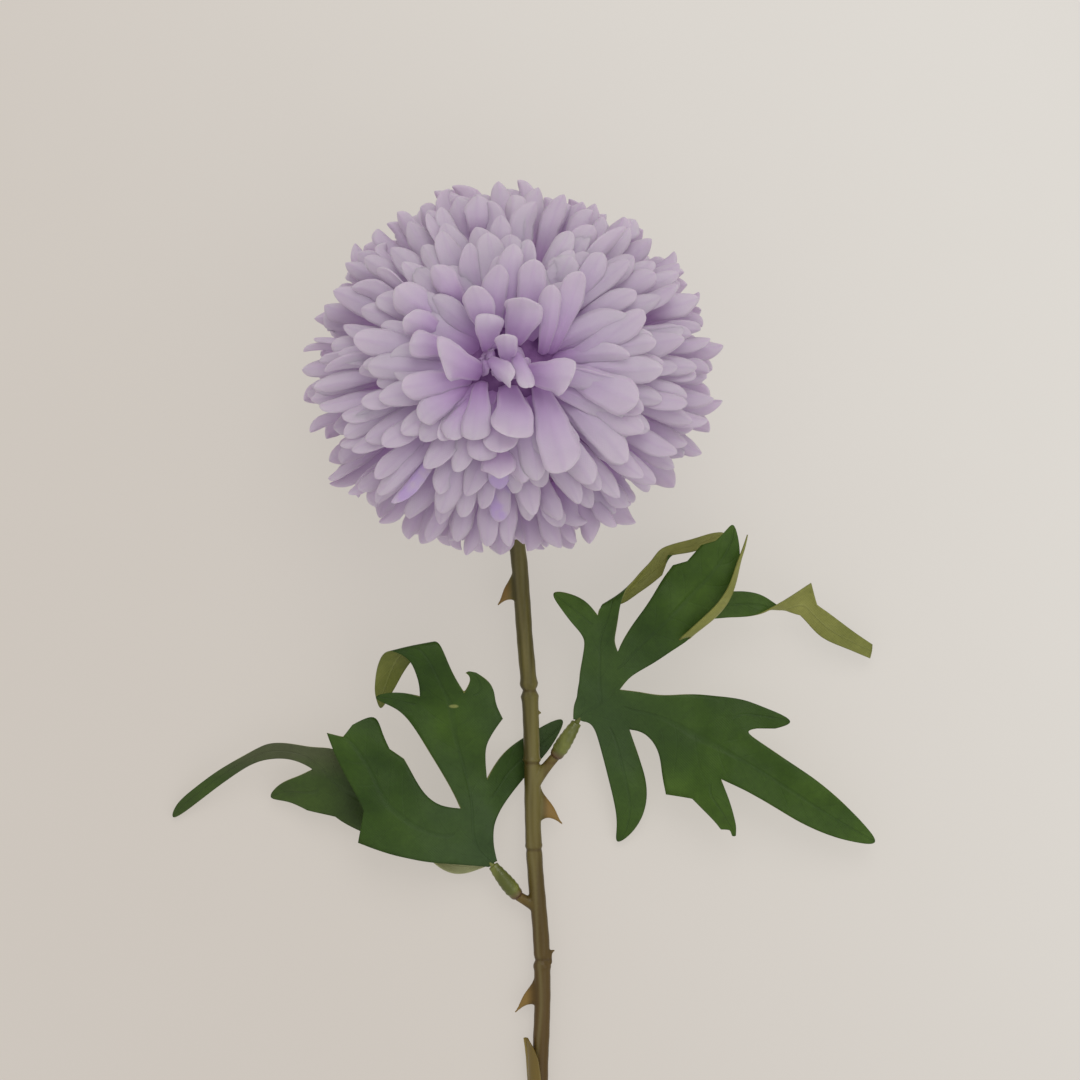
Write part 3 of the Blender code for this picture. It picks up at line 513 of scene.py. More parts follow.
# %% [markdown]
# ## Where the petals grow
# The petals stand on a core in the middle of the bloom. Walking round by the golden angle spreads
# them evenly, as in a real flower head. Each one leans away from the eye of the bloom, so they lie
# over each other like shingles, and at the back they lean towards the stem. Small random changes
# keep them from looking stamped. The seed is fixed, so the bloom comes out the same each time.

# %% Size of the bloom
low, high = (np.array(corner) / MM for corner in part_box("bloom"))
BLOOM_CENTRE = np.array((0.0, 0.0, 40.0))
BLOOM_RADII = np.array((50.0, 45.3, 42.0))
BALL_RADIUS = 46.0
EYE_PIXEL = (503, 358)
STEM_WAY = np.array((0.0, -math.cos(math.radians(40)), -math.sin(math.radians(40))))
print("bloom solid spans", np.round(high - low, 1), "mm")


def on_ball(pixel, share):
    """Where the camera's ray through a pixel meets the petal ball, shrunk by a share."""
    ray = unit(((pixel[0] - FRAME_PIXELS / 2) / FOCAL_PIXELS,
                (FRAME_PIXELS / 2 - pixel[1]) / FOCAL_PIXELS, -1))
    start = (CAMERA_MM - BLOOM_CENTRE) / BLOOM_RADII
    step = ray / BLOOM_RADII
    a, b, c = step @ step, start @ step, start @ start - share ** 2
    distance = (-b - math.sqrt(max(b * b - a * c, 0.0))) / a
    return (start + step * distance) * BALL_RADIUS


def seen_at(point):
    """The pixel of the photo where the camera sees a point of the petal ball."""
    place = BLOOM_CENTRE + point * BLOOM_RADII / BALL_RADIUS
    scale = FOCAL_PIXELS / (CAMERA_MM[2] - place[2])
    return np.array((FRAME_PIXELS / 2 + (place[0] - CAMERA_MM[0]) * scale,
                     FRAME_PIXELS / 2 - (place[1] - CAMERA_MM[1]) * scale))


def is_near(point, spots):
    """Whether the camera sees a point near one of the listed pixels."""
    return any(np.linalg.norm(seen_at(point) - spot) < far for spot, far in spots)


# %% Rules for the petals of the ball
PETAL_COUNT = 540
EYE_ROOM, STEM_ROOM, BACK_ANGLE = 31.0, 17.0, 100.0  # degrees
PETAL_KNOTS = ((24.0, 0.0), (34.0, 0.08), (42.5, 0.5))  # radius and share of the petal's lean
KEPT_OPEN = [  # a pixel of the photo and how far round it no petal may end
    ((565, 336), 11), ((578, 321), 11), ((592, 306), 9), ((547, 212), 7), ((546, 228), 7),
    ((545, 244), 6), ((570, 530), 7), ((622, 498), 8), ((480, 300), 8), ((508, 300), 8),
    ((598, 330), 10), ((605, 295), 9),
]
VIOLET_SPOTS = [((403, 500), 13), ((500, 484), 9), ((508, 518), 10)]
OUTLINE_TURNS = (0, 30, 67, 97, 120, 160, 190, 212, 235, 258, 280, 310, 340, 360)
OUTLINE_REACH = (
    0.02, 0.01, -0.03, 0.005, -0.01, -0.03, 0.02, 0.045, 0.04, 0.01, -0.02, 0.0, 0.02, 0.02)
rng = np.random.default_rng(11)
eye_way = unit(on_ball(EYE_PIXEL, 1.0))
eye_side = unit(np.cross((0.0, 1.0, 0.0), eye_way))
eye_up = np.cross(eye_way, eye_side)
print("the eye looks", np.round(eye_way, 2))

# %% Petals of the ball


def swung(outward, away, degrees):
    """The outward direction, swung the given way by an angle."""
    turn = math.radians(degrees)
    return outward * math.cos(turn) + away * math.sin(turn)


def shape_of(width, spread):
    """The own shape of one petal: its width, trough, roll, twist and the way its tip is cut."""
    return dict(
        width=width * rng.uniform(0.84, 1.16), cup=rng.uniform(0.10, 0.50),
        roll=math.radians(rng.normal(0, spread)), twist=math.radians(rng.normal(0, 1.3 * spread)),
        point=rng.uniform(0.0, 1.0), flap=rng.uniform(-0.2, 0.8), wave=rng.uniform(0, math.tau),
        curl=rng.normal(0, 0.14), sway=rng.normal(0, 0.07))


def ball_petal(index):
    """The settings of one petal of the ball, or None where the eye or the stem needs the room."""
    cosine = math.cos(math.radians(3.0)) - (index + 0.5) / PETAL_COUNT * 1.997
    turn = golden_turn(index) + rng.uniform(-0.09, 0.09)
    tip_angle = math.degrees(math.acos(cosine)) + rng.uniform(-3, 3)
    lean = ramp(tip_angle, (15, 25, 38, 52, 66, 80, 95, 130), (8, 16, 24, 26, 20, 9, 3, 10))
    lean = lean * rng.uniform(0.75, 1.25) + rng.normal(0, 2.0)
    around = eye_side * math.cos(turn) + eye_up * math.sin(turn)
    outward = swung(eye_way, around, tip_angle - lean)
    to_back = ramp(tip_angle, (75, 125), (0, 1))
    from_stem = math.degrees(math.acos(np.clip(STEM_WAY @ outward, -1, 1)))
    to_stem = unit(STEM_WAY - outward * (STEM_WAY @ outward))
    away = swung(eye_way, around, tip_angle - lean + 90) * (1 - to_back) + to_stem * to_back
    away = unit(away - outward * (away @ outward))
    lean = min(lean, from_stem - 10)
    tip_way = swung(eye_way, around, tip_angle)
    turn_of_tip = math.degrees(math.atan2(tip_way[1], tip_way[0])) % 360
    near_rim = math.hypot(tip_way[0], tip_way[1]) ** 2
    width = ramp(tip_angle, (20, 45, 80, 110), (6.4, 5.6, 4.4, 6.2))
    shape = shape_of(width * (1 + 0.14 * max(0.0, tip_way[1])),
                     ramp(tip_angle, (20, 60, 85), (9, 20, 44)))
    shape["point"] = min(1.0, shape["point"] + ramp(tip_angle, (50, 80), (0, 0.5)))
    shape["cup"] += ramp(tip_angle, (60, 85), (0, 0.45))
    outline = ramp(turn_of_tip, OUTLINE_TURNS, OUTLINE_REACH) * near_rim
    held_in = ramp(tip_angle, (30, 44, 62, 90, 110), (0.065, 0.035, 0.0, 0.015, 0.05))
    loose = ramp(tip_angle, (40, 80), (0.03, 0.055))
    reach = BALL_RADIUS * (0.975 + outline - held_in) * rng.uniform(1 - loose, 1 + loose)
    # Partly painted shade: petals that point down, where the bloom lies in more shade, get more
    # violet at the root.
    root_violet_and_shade = ramp(tip_angle, (30, 60, 100), (0.82, 0.5, 0.42)) * (1 - 0.3 * float(tip_way[1]))
    tip = reach * swung(outward, away, lean)
    marks = (rng.uniform(0, 1), 0.5 if is_near(tip, VIOLET_SPOTS) else 0.0, root_violet_and_shade)
    in_gap = tip_angle < BACK_ANGLE and is_near(tip, KEPT_OPEN)
    if from_stem < STEM_ROOM or tip_angle < EYE_ROOM or in_gap:
        return None
    knots = [radius * swung(outward, away, lean * share)
             for radius, share in (*PETAL_KNOTS, (reach, 1.0))]
    return dict(knots=knots, side=np.cross(outward, away), **shape), marks


grown = [settings for settings in map(ball_petal, range(PETAL_COUNT)) if settings]
print(len(grown), "petals grown round the ball")

# %% [markdown]
# ## The petals round the eye
# The long petals in the middle catch the eye first, so they aren't left to chance. Each one is
# placed by two pixels of the photo, where it comes out of the gap and where its tip ends, with
# its width in millimetres, how far it rolls, and how high its tip stands over the ball.

# %% Eye petals
EYE_PETALS = [  # root and tip pixels, width, roll in degrees, height of the tip, cup, point, slant
    ((484, 373), (440, 355), 8.8, 10, 1.05, 0.12, 0.0, -0.95),
    ((487, 360), (510, 381), 5.4, -25, 1.07, 0.65, 0.4),
    ((507, 366), (505, 334), 4.8, 14, 1.04, 0.35, 1.0),
    ((513, 348), (529, 387), 3.9, 15, 1.08, 0.5, 0.2),
    ((522, 373), (572, 378), 8.6, -8, 1.06, 0.22, 0.1, 0.25),
    ((489, 352), (488, 314), 6.2, -10, 1.01, 0.3, 0.7),
    ((491, 342), (474, 289), 6.6, 0, 0.99, 0.3, 0.6),
    ((512, 346), (524, 299), 8.4, 8, 1.02, 0.26, 0.2, -0.1),
    ((541, 356), (550, 286), 4.8, 0, 1.02, 0.5, 0.2),
    ((549, 356), (577, 274), 6.2, -12, 1.0, 0.3, 0.1),
    ((559, 363), (642, 313), 6.2, 16, 1.0, 0.35, 0.5),
    ((560, 364), (661, 369), 7.0, -5, 0.985, 0.3, 0.6),
    ((558, 368), (635, 403), 9.0, 5, 1.015, 0.22, 0.2),
    ((538, 384), (564, 470), 8.8, -6, 1.05, 0.16, 0.0, -0.2),
    ((556, 392), (623, 459), 6.8, 0, 1.0, 0.3, 0.5),
    ((506, 384), (507, 435), 9.2, 3, 1.02, 0.16, 0.0, 0.4),
    ((482, 380), (473, 440), 6.4, 0, 1.01, 0.3, 0.1),
    ((474, 378), (405, 388), 6.4, -6, 1.01, 0.35, 0.0),
    ((456, 328), (399, 290), 8.0, 0, 0.99, 0.4, 0.1),
    ((452, 340), (406, 320), 6.6, 6, 0.985, 0.35, 0.2),
    ((461, 352), (409, 345), 6.4, 5, 1.01, 0.3, 0.2),
    ((462, 362), (360, 339), 7.0, 0, 0.985, 0.3, 0.2),
    ((466, 318), (437, 268), 6.2, 8, 0.975, 0.35, 0.5),
    ((504, 330), (514, 245), 5.6, 0, 0.985, 0.35, 0.7),
    ((497, 336), (499, 268), 5.6, -8, 0.975, 0.35, 0.6),
    ((527, 338), (534, 262), 6.2, 0, 0.985, 0.3, 0.2),
    ((565, 312), (602, 254), 5.4, 10, 0.97, 0.35, 0.4),
    ((566, 356), (650, 342), 6.0, -6, 0.97, 0.35, 0.5),
    ((566, 386), (637, 430), 6.4, 8, 0.98, 0.35, 0.4),
    ((541, 412), (590, 480), 6.4, 0, 0.985, 0.3, 0.4),
    ((520, 395), (537, 480), 5.8, 6, 0.985, 0.3, 0.9),
    ((492, 404), (480, 460), 6.6, 0, 0.985, 0.3, 0.1),
    ((478, 392), (448, 438), 6.0, -8, 0.985, 0.35, 0.3),
    ((472, 386), (420, 420), 6.2, 6, 0.985, 0.35, 0.3),
    ((470, 378), (382, 398), 6.0, 0, 0.975, 0.35, 0.4),
    ((466, 372), (368, 366), 6.4, 6, 0.975, 0.35, 0.3),
    ((501, 432), (502, 475), 7.6, 0, 1.015, 0.35, 1.0),
    ((500, 398), (500, 450), 7.4, 0, 1.0, 0.3, 0.0),
    ((632, 322), (691, 301), 5.8, 0, 0.985, 0.35, 0.7),
    ((481, 256), (478, 197), 5.6, 0, 0.985, 0.35, 0.5),
    ((600, 256), (634, 222), 5.6, 0, 0.98, 0.35, 0.6),
]
EYE_FILLERS = 10


def filler(index):
    """The settings of a short upright petal that fills the gaps of the eye."""
    turn, far = golden_turn(index), 10 + 1.5 * index
    way = np.array((math.cos(turn), math.sin(turn)))
    root = np.array(EYE_PIXEL) + way * far * 0.5
    tip = np.array(EYE_PIXEL) + (way * far * 1.2) + (2, 2)
    roll, height = rng.uniform(-20, 20), rng.uniform(0.64, 0.72)
    return tuple(root), tuple(tip), 5.0, roll, height, 0.4, 0.5


def eye_petal(root, tip, width, roll, height, cup, point, slant=0.0):
    """The settings of a petal between two pixels of the photo."""
    start, end = on_ball(root, 0.8), on_ball(tip, height)
    knots = [on_ball(root, 0.6), start * 1.08, start * 0.42 + end * 0.66, end]
    root_violet_and_shade = ramp(math.dist(tip, EYE_PIXEL), (110, 160), (0.88, 0.45))
    marks = (rng.uniform(0.5, 1), 0.0, root_violet_and_shade)
    shape = shape_of(width, 8) | dict(
        width=width, cup=cup, roll=math.radians(roll), point=point, slant=slant)
    return dict(knots=knots, side=np.cross(unit(start), unit(end - start)), **shape), marks


fillers = [filler(index) for index in range(EYE_FILLERS)]
placed = [eye_petal(*settings) for settings in EYE_PETALS + fillers]
print(len(placed), "petals placed round the eye")

# %% [markdown]
# ## From settings to petals
# All petals of a layer go into one mesh. Before that, three things are put right for all points at
# once: the petals lie flat where the bloom rests on the surface, they keep clear of the stem and
# its cup, and the points are stretched from a ball to the bloom's own widths.

# %% Stem line
STEM_RADIUS = 2.05
STEM_ROUTE = [
    (0.9, -39.0, 9.2), (1.8, -45.0, 8.3), (2.4, -51.0, 7.95), (2.9, -58.5, 7.75),
    (3.4, -66.0, 7.5), (4.7, -81.3, 6.8), (5.2, -98.0, 6.0), (5.5, -114.5, 5.3),
    (6.2, -126.6, 4.75), (7.5, -141.7, 4.1), (7.8, -156.8, 3.45), (7.3, -172.0, 2.75),
    (7.0, -186.0, 2.15),
]
STEM_STRAIGHT = [BLOOM_CENTRE + STEM_WAY * distance for distance in (35.5, 38.0, 41.0, 44.5)]
CUP_LINE = BLOOM_CENTRE + STEM_WAY * np.linspace(22, 60, 20)[:, None]
CUP_ROOM = 4.6
PETAL_GAP = 0.7  # between the stem and the nearest petals
stem_line = smooth_route(STEM_STRAIGHT + STEM_ROUTE, 0.8)
print("stem line of", len(stem_line), "points")

# %% Petal layers
DEEP, DEPTH_SPAN = 0.6, 0.23  # shares of the bloom's radius: where it is darkest, and its fade


def nearest_on(line, points):
    """For each point, the nearest point of a line and how far away it is."""
    squares = ((points[:, None] - line[None]) ** 2).sum(-1)
    return line[np.argmin(squares, axis=1)], np.sqrt(squares.min(axis=1))


def clear_of(points, line, room):
    """Push points out of the room round a line."""
    flat = points.reshape(-1, 3)
    nearest = nearest_on(line, flat)[0]
    offset = flat - nearest
    distance = np.linalg.norm(offset, axis=1, keepdims=True)
    pushed = nearest + offset * np.maximum(room / np.maximum(distance, 1e-6), 1.0)
    return pushed.reshape(points.shape)


def settled(surfaces):
    """Ball points brought to the bloom's widths, resting on the surface and clear of the stem."""
    points = BLOOM_CENTRE + surfaces * BLOOM_RADII / BALL_RADIUS
    points = clear_of(points, CUP_LINE, CUP_ROOM)
    points = clear_of(points, stem_line[::3], STEM_RADIUS + PETAL_GAP)
    soft = 0.5
    points[..., 2] = soft * np.logaddexp(0, (points[..., 2] - 0.3) / soft) + 0.2
    return points


def sheet_faces():
    """Faces of a petal's two sides and its rim, for one front grid followed by one back grid."""
    index = np.arange(ROWS * COLUMNS).reshape(ROWS, COLUMNS)
    corners = (index[:-1, :-1], index[:-1, 1:], index[1:, 1:], index[1:, :-1])
    front = np.stack(corners, -1).reshape(-1, 4)
    back = front[:, ::-1] + ROWS * COLUMNS
    loop = np.concatenate((index[0, :-1], index[:-1, -1], index[-1, :0:-1], index[:0:-1, 0]))
    after = np.roll(loop, -1)
    rim = np.stack((after, loop, loop + ROWS * COLUMNS, after + ROWS * COLUMNS), -1)
    return np.vstack((front, back, rim))


def petal_layer(name, petals):
    """A piece that holds all the petals of one layer, with their UV map and tones."""
    surfaces = settled(np.array([petal_surface(**settings) for settings, _ in petals]))
    down, over = np.gradient(surfaces, axis=1), np.gradient(surfaces, axis=2)
    lift = unit(np.cross(over, down)) * FABRIC_THICKNESS / 2
    points = np.concatenate((surfaces + lift, surfaces - lift), 1).reshape(-1, 3)
    step = 2 * ROWS * COLUMNS
    starts = np.arange(len(petals))[:, None, None] * step
    faces = (sheet_faces()[None] + starts).reshape(-1, 4)
    piece = make_piece(name, points, faces.tolist(), [petal_cloth], "petals", ["bloom"])
    u, v = np.meshgrid((ACROSS + 1) / 2, STATIONS)
    corner = np.zeros(len(faces) * 4, dtype=np.int32)
    piece.data.loops.foreach_get("vertex_index", corner)
    uv = np.tile(np.stack((u, v), -1).reshape(-1, 2), (2 * len(petals), 1))[corner]
    layer = piece.data.uv_layers.new(name="UVMap")
    layer.data.foreach_set("uv", uv.astype(np.float32).ravel())
    depth = np.linalg.norm((points - BLOOM_CENTRE) / BLOOM_RADII, axis=1)
    colours = np.ones((len(points), 4))
    colours[:, (0, 1, 3)] = np.repeat([marks for _, marks in petals], step, axis=0)
    colours[:, 2] = np.clip((depth - DEEP) / DEPTH_SPAN, 0, 1)
    tones = piece.data.color_attributes.new(name="petal", type="FLOAT_COLOR", domain="POINT")
    tones.data.foreach_set("color", colours.astype(np.float32).ravel())


third = len(grown) // 3
petal_layer("petals_eye", placed)
petal_layer("petals_front", grown[:third])
petal_layer("petals_side", grown[third:2 * third])
petal_layer("petals_back", grown[2 * third:])
print("petal layers made")

# %% [markdown]
# ## The core
# Between the petals the core shows as a deep purple. On the real bloom it is the mass of petal
# roots threaded on each other, so its surface is knobbly. A ball of small faces is pushed in and
# out by the same golden-angle pattern that the petals stand in.

# %% Core
CORE_SHARE = 0.64
CORE_KNOBS, KNOB_HEIGHT, KNOB_EDGE = 400, 0.05, 0.992  # count, height, cosine at a knob's edge
root_cloth, shader, place = new_material("petal roots", Roughness=0.9)
roots = use_group(mottled, Vector=place, Scale=240.0, Dark=(0.18, 0.07, 0.23),
                  Light=(0.34, 0.18, 0.40), Contrast=2.0)
fill(shader, Base_Color=roots["Color"])
relief(shader, roots["Mask"], 0.5, 0.0006)
edit = bmesh.new()
bmesh.ops.create_icosphere(edit, subdivisions=5, radius=1.0)
ways = np.array([vert.co for vert in edit.verts])
faces = [tuple(vert.index for vert in face.verts) for face in edit.faces]
edit.free()
count = np.arange(CORE_KNOBS)
heights = 1 - 2 * (count + 0.5) / CORE_KNOBS
rounds, turns = np.sqrt(1 - heights ** 2), golden_turn(count)
knobs = np.stack((rounds * np.cos(turns), rounds * np.sin(turns), heights), -1)
nearness = (ways @ knobs.T).max(axis=1)
bumps = 1 + KNOB_HEIGHT * np.clip((nearness - KNOB_EDGE) / 0.008, 0, 1)
core_points = BLOOM_CENTRE + ways * BLOOM_RADII * CORE_SHARE * bumps[:, None]
core_points = clear_of(core_points, CUP_LINE, CUP_ROOM)
make_piece("petal_core", core_points, faces, [root_cloth], "petals", ["bloom"])
print("core made with", len(faces), "faces")

# %% [markdown]
# ## Moulded plastic
# The stem is one moulding in olive brown, browner towards the cut end, with amber thorns where the
# plastic is thin. The sleeves are a fresher yellow green, the cup is a paler one and the scale is
# a golden brown. All share the moulded skin.

# %% Plastic materials
STEM_MARKS = [  # name of the stored share, how strong it shows, colour
    ("streak", 0.42, (0.215, 0.185, 0.080)),
    ("seam", 0.6, (0.060, 0.034, 0.008)),
    ("amber", 1.0, (0.225, 0.138, 0.034)),
]


def plastic(name, dark, light, roughness):
    """A moulded plastic whose tone changes along streaks, with what is needed to add to it."""
    material, shader, place = new_material(name, Roughness=roughness)
    marks = use_group(skin, Vector=place)
    streaky = mix_colours(marks["Streak"], dark, light)
    fill(shader, Base_Color=streaky)
    relief(shader, marks["Height"], 0.25, 0.0002)
    return material, shader, place, streaky


stem_plastic, shader, place, brown = plastic(
    "stem plastic", (0.066, 0.055, 0.011), (0.158, 0.137, 0.036), 0.36)
worn = product(smooth_step(split(place)["Y"], -0.085, -0.165), 0.85)
brown = mix_colours(worn, brown, (0.088, 0.046, 0.008))
for name, strength, colour in STEM_MARKS:
    brown = mix_colours(product(stored(shader, name), strength), brown, colour)
fill(shader, Base_Color=brown, Specular_IOR_Level=0.28)

sleeve_plastic, shader, _, streaky = plastic(
    "sleeve plastic", (0.084, 0.100, 0.010), (0.168, 0.188, 0.034), 0.32)
mouth = stored(shader, "mouth")
fill(shader, Base_Color=mix_colours(mouth, streaky, (0.105, 0.050, 0.025)))

cup_plastic = plastic("cup plastic", (0.10, 0.13, 0.035), (0.17, 0.22, 0.07), 0.5)[0]
scale_plastic = plastic("scale plastic", (0.15, 0.100, 0.012), (0.27, 0.200, 0.03), 0.38)[0]
print("plastics made")

# %% [markdown]
# ## The stem
# The stem is a round bar with shallow rings and grooves, hooked thorns, two buds and two side pegs.
# They are made as separate closed shapes. A voxel remesh then melts them into one skin and a little
# smoothing rounds the inner corners, just as a mould has rounded corners where a thorn leaves it.

# %% Stem shapes
STEM_RINGS = [  # place along the stem, how far it rises, width
    (-79.0, -0.5, 0.5), (-77.2, 0.3, 0.8), (-80.4, 0.28, 0.7), (-96.4, 0.3, 0.4),
    (-97.1, -0.28, 0.35), (-118.2, 0.24, 0.4), (-118.9, -0.22, 0.35), (-146.5, -0.5, 0.5),
    (-148.2, 0.3, 0.8),
]
THORNS_AND_BUDS = [  # foot, tip, half length of the foot along the stem
    ((2.6, -53.4, 7.8), (-3.4, -57.6, 8.6), 5.6),
    ((5.6, -108.2, 5.6), (12.9, -112.6, 5.0), 5.6),
    ((7.6, -155.0, 3.6), (0.9, -160.0, 3.6), 4.2),
    ((5.0, -85.0, 6.6), (7.6, -84.6, 6.9), 1.5),
    ((8.7, -146.0, 4.0), (11.0, -144.2, 4.3), 2.0),
]
PEGS = {  # foot, bend, mouth of the sleeve, end of the sleeve
    "left": ((7.1, -133.6, 4.45), (4.0, -131.9, 4.8), (1.4, -130.2, 5.2), (-4.5, -122.8, 7.9)),
    "right": ((5.6, -102.0, 5.9), (8.6, -98.4, 6.1), (11.3, -95.1, 6.6), (16.3, -87.0, 9.2)),
}


def hook(foot, tip, stretch):
    """A hooked thorn, stretched along the stem at its foot and bent down at its tip."""
    foot, tip = np.array(foot), np.array(tip)
    bend = foot + (tip - foot) * 0.55 + np.array((0.0, 0.9, 0.0)) * abs(tip[0] - foot[0]) / 6
    line = smooth_route([foot, bend, tip], 0.35)
    shares = np.linspace(0, 1, len(line))
    thin = 1.15 * (1 - shares) ** 1.15 + 0.16
    long = stretch * (1 - shares) ** 1.9 + 0.24
    return swept(line, thin, 16, long / thin, (0.0, 1.0, 0.0))


def peg(side):
    """A flared side branch with a thinner pin that goes up into the sleeve."""
    root, bend, mouth, tip = (np.array(point) for point in PEGS[side])
    along = unit(tip - mouth)
    line = smooth_route([root, bend, mouth - along * 0.3], 0.4)
    radii = 1.25 + 0.75 * np.linspace(1, 0, len(line)) ** 2.5
    pin = [mouth - along * 0.6, mouth + along * 4]
    return [swept(line, radii, 20), swept(pin, 0.75, 16)]


rises = sum(rise * np.exp(-((stem_line[:, 1] - place) / width) ** 2)
            for place, rise, width in STEM_RINGS)
wobble = 0.05 * np.sin(stem_line[:, 1] * 0.9) * np.sin(stem_line[:, 1] * 0.37)
shapes = [swept(stem_line, STEM_RADIUS + rises + wobble, 28)]
shapes += [hook(*settings) for settings in THORNS_AND_BUDS] + peg("left") + peg("right")
print(len(shapes), "shapes for the stem")

# %% [markdown]
# The colours of the stem need three shares at each point: how thin the plastic is there, whether it
# lies in a groove, and whether it lies on a painted highlight, a pale line along the upper side of
# the stem.

# %% Stem
VOXEL = 0.24
stem = make_piece("flower_stem", *joined(shapes), [stem_plastic], "stem", ["stem"])
remesh = stem.modifiers.new("melt together", "REMESH")
remesh.mode = "VOXEL"
remesh.voxel_size = VOXEL * MM
remesh.use_smooth_shade = True
stem.modifiers.new("round corners", "SMOOTH").iterations = 3
applied(stem)
points = np.array([vert.co for vert in stem.data.vertices]) / MM
nearest, from_line = nearest_on(stem_line[::2], points)
peg_points = np.vstack([smooth_route(PEGS[side][:3], 0.5) for side in PEGS])
from_pegs = nearest_on(peg_points, points)[1]
off_pegs = np.clip((from_pegs - 1.2) / 1.2, 0.25, 1)
store_share(stem, "amber", np.clip((from_line - 2.5) / 1.6, 0, 1) * off_pegs)
seams = sum(np.exp(-((points[:, 1] - place) / 0.4) ** 2)
            for place, rise, _ in STEM_RINGS if rise < 0)
store_share(stem, "seam", np.clip(seams, 0, 1))
# Painted highlight: a pale line that winds gently along the upper side of the stem.
turned = np.degrees(np.arctan2(points[:, 2] - nearest[:, 2], points[:, 0] - nearest[:, 0]))
from_painted_highlight = turned - 108 - 9 * np.sin(points[:, 1] * 0.21)
store_share(stem, "streak", np.exp(-(from_painted_highlight / 15) ** 2))
print("stem made with", len(stem.data.polygons), "faces")

# %% [markdown]
# ## Sleeves
# Each leaf has its own stalk, a soft green sleeve that is pushed on the stem's side peg. Its brown
# mouth is turned in a little round the pin, and it gets thin and flat where it meets the leaf.

# %% Sleeves
SLEEVE_RADII = (1.62, 1.95, 1.95, 1.78, 1.55, 1.25)
SLEEVE_SIDES = 24
for side in PEGS:
    mouth, tip = (np.array(point) for point in PEGS[side][2:])
    along = unit(tip - mouth)
    shares = np.linspace(0, 1, 26)
    arch = np.array((0, 0, 0.35)) * np.sin(np.pi * shares)[:, None]
    line = mouth + (tip - mouth) * shares[:, None] + arch
    line[:, 2] -= 1.0 * shares ** 4
    line = np.vstack((mouth + along * 1.2, mouth + along * 0.25, line))
    radii = np.interp(shares, np.linspace(0, 1, len(SLEEVE_RADII)), SLEEVE_RADII)
    radii = np.concatenate(([0.85, 0.95], radii + 0.06 * np.sin(shares * 40)))
    flats = np.concatenate(([1, 1], np.interp(shares, (0, 0.4, 1), (1, 1, 0.75))))
    sleeve = make_piece(f"leaf_sleeve_{side}", *swept(line, radii, SLEEVE_SIDES, flats),
                        [sleeve_plastic], "sleeves", [f"petiole_{side}"])
    rings = np.concatenate(([1.0, 1.0], np.clip(1 - shares * 5, 0, 1)))
    store_share(sleeve, "mouth", np.repeat(rings, SLEEVE_SIDES))
    print(sleeve.name, "made")

# %% [markdown]
# ## The cup behind the bloom
# The stem is pushed into a green cup that can only be seen from behind. Its outline is turned
# round the stem's direction, and shallow flutes are pressed into it.

# %% Cup
CUP_PROFILE = [  # radius, distance from the middle of the bloom
    (0.1, 24.6), (4.0, 24.5), (6.2, 24.7), (7.3, 27.6), (6.9, 30.0), (5.6, 32.0), (4.6, 34.0),
    (3.8, 36.4), (3.4, 38.5), (3.15, 41.0), (3.1, 42.5), (2.4, 42.6), (2.38, 38.0),
]
CUP_SIDES = 60
profile = smooth_route([(radius, distance, 0.0) for radius, distance in CUP_PROFILE], 0.6)
angles = np.linspace(0, math.tau, CUP_SIDES, endpoint=False)
wide = np.clip((profile[:, :1] - 3.2) / 2, 0, 1)
fluted = 1 - 0.05 * np.cos(angles * 12)[None] ** 2 * wide
across, upward = np.array((1.0, 0.0, 0.0)), np.cross(STEM_WAY, (1.0, 0.0, 0.0))
ring = across * np.cos(angles)[:, None] + upward * np.sin(angles)[:, None]
points = (BLOOM_CENTRE + STEM_WAY * profile[:, None, 1:2]
          + ring[None] * (profile[:, :1] * fluted)[..., None])
faces = tube_faces(len(profile), CUP_SIDES)
make_piece("bloom_cup", points.reshape(-1, 3), faces, [cup_plastic], "calyx", ["calyx"])
print("cup made")

# %% [markdown]
# ## The scale near the cut end
# A thin scale wraps the lower stem and curls free at one edge. It is a sheet that follows part of
# the stem's round, with its ends at other angles from row to row.

# %% Scale
SCALE_START, SCALE_END, SCALE_THICKNESS = -166.2, -184.0, 0.5
SCALE_ROWS, SCALE_COLUMNS = 22, 15
SCALE_TURNS = np.array((  # share of its length, its first and last angle, how far it lifts
    (0.0, 168, 156, 1.3), (0.12, 176, 128, 0.8), (0.3, 186, 100, 0.35), (0.6, 198, 82, 0.0),
    (1.0, 205, 70, 0.0),
))
shares = np.linspace(0, 1, SCALE_ROWS)
runs = [np.interp(shares, SCALE_TURNS[:, 0], SCALE_TURNS[:, column]) for column in (1, 2, 3)]
points = []
for share, left, right, lift in zip(shares, *runs):
    y = SCALE_START + (SCALE_END - SCALE_START) * share
    middle = np.array([np.interp(-y, -stem_line[:, 1], stem_line[:, axis]) for axis in range(3)])
    for turn in np.linspace(left, right, SCALE_COLUMNS):
        free = 0.5 * max(0.0, (turn - left + 12) / 12) if turn > left - 8 else 0.0
        radius = STEM_RADIUS + 0.3 + SCALE_THICKNESS / 2 + lift + free
        way = np.array((math.cos(math.radians(turn)), 0, math.sin(math.radians(turn))))
        points.append(middle + radius * way)
corners = [row * SCALE_COLUMNS + column
           for row in range(SCALE_ROWS - 1) for column in range(SCALE_COLUMNS - 1)]
faces = [(a, a + 1, a + 1 + SCALE_COLUMNS, a + SCALE_COLUMNS) for a in corners]
scale = make_piece("stem_scale", points, faces, [scale_plastic], "bract", ["bract"])
thicken(scale, SCALE_THICKNESS)
print("scale made")
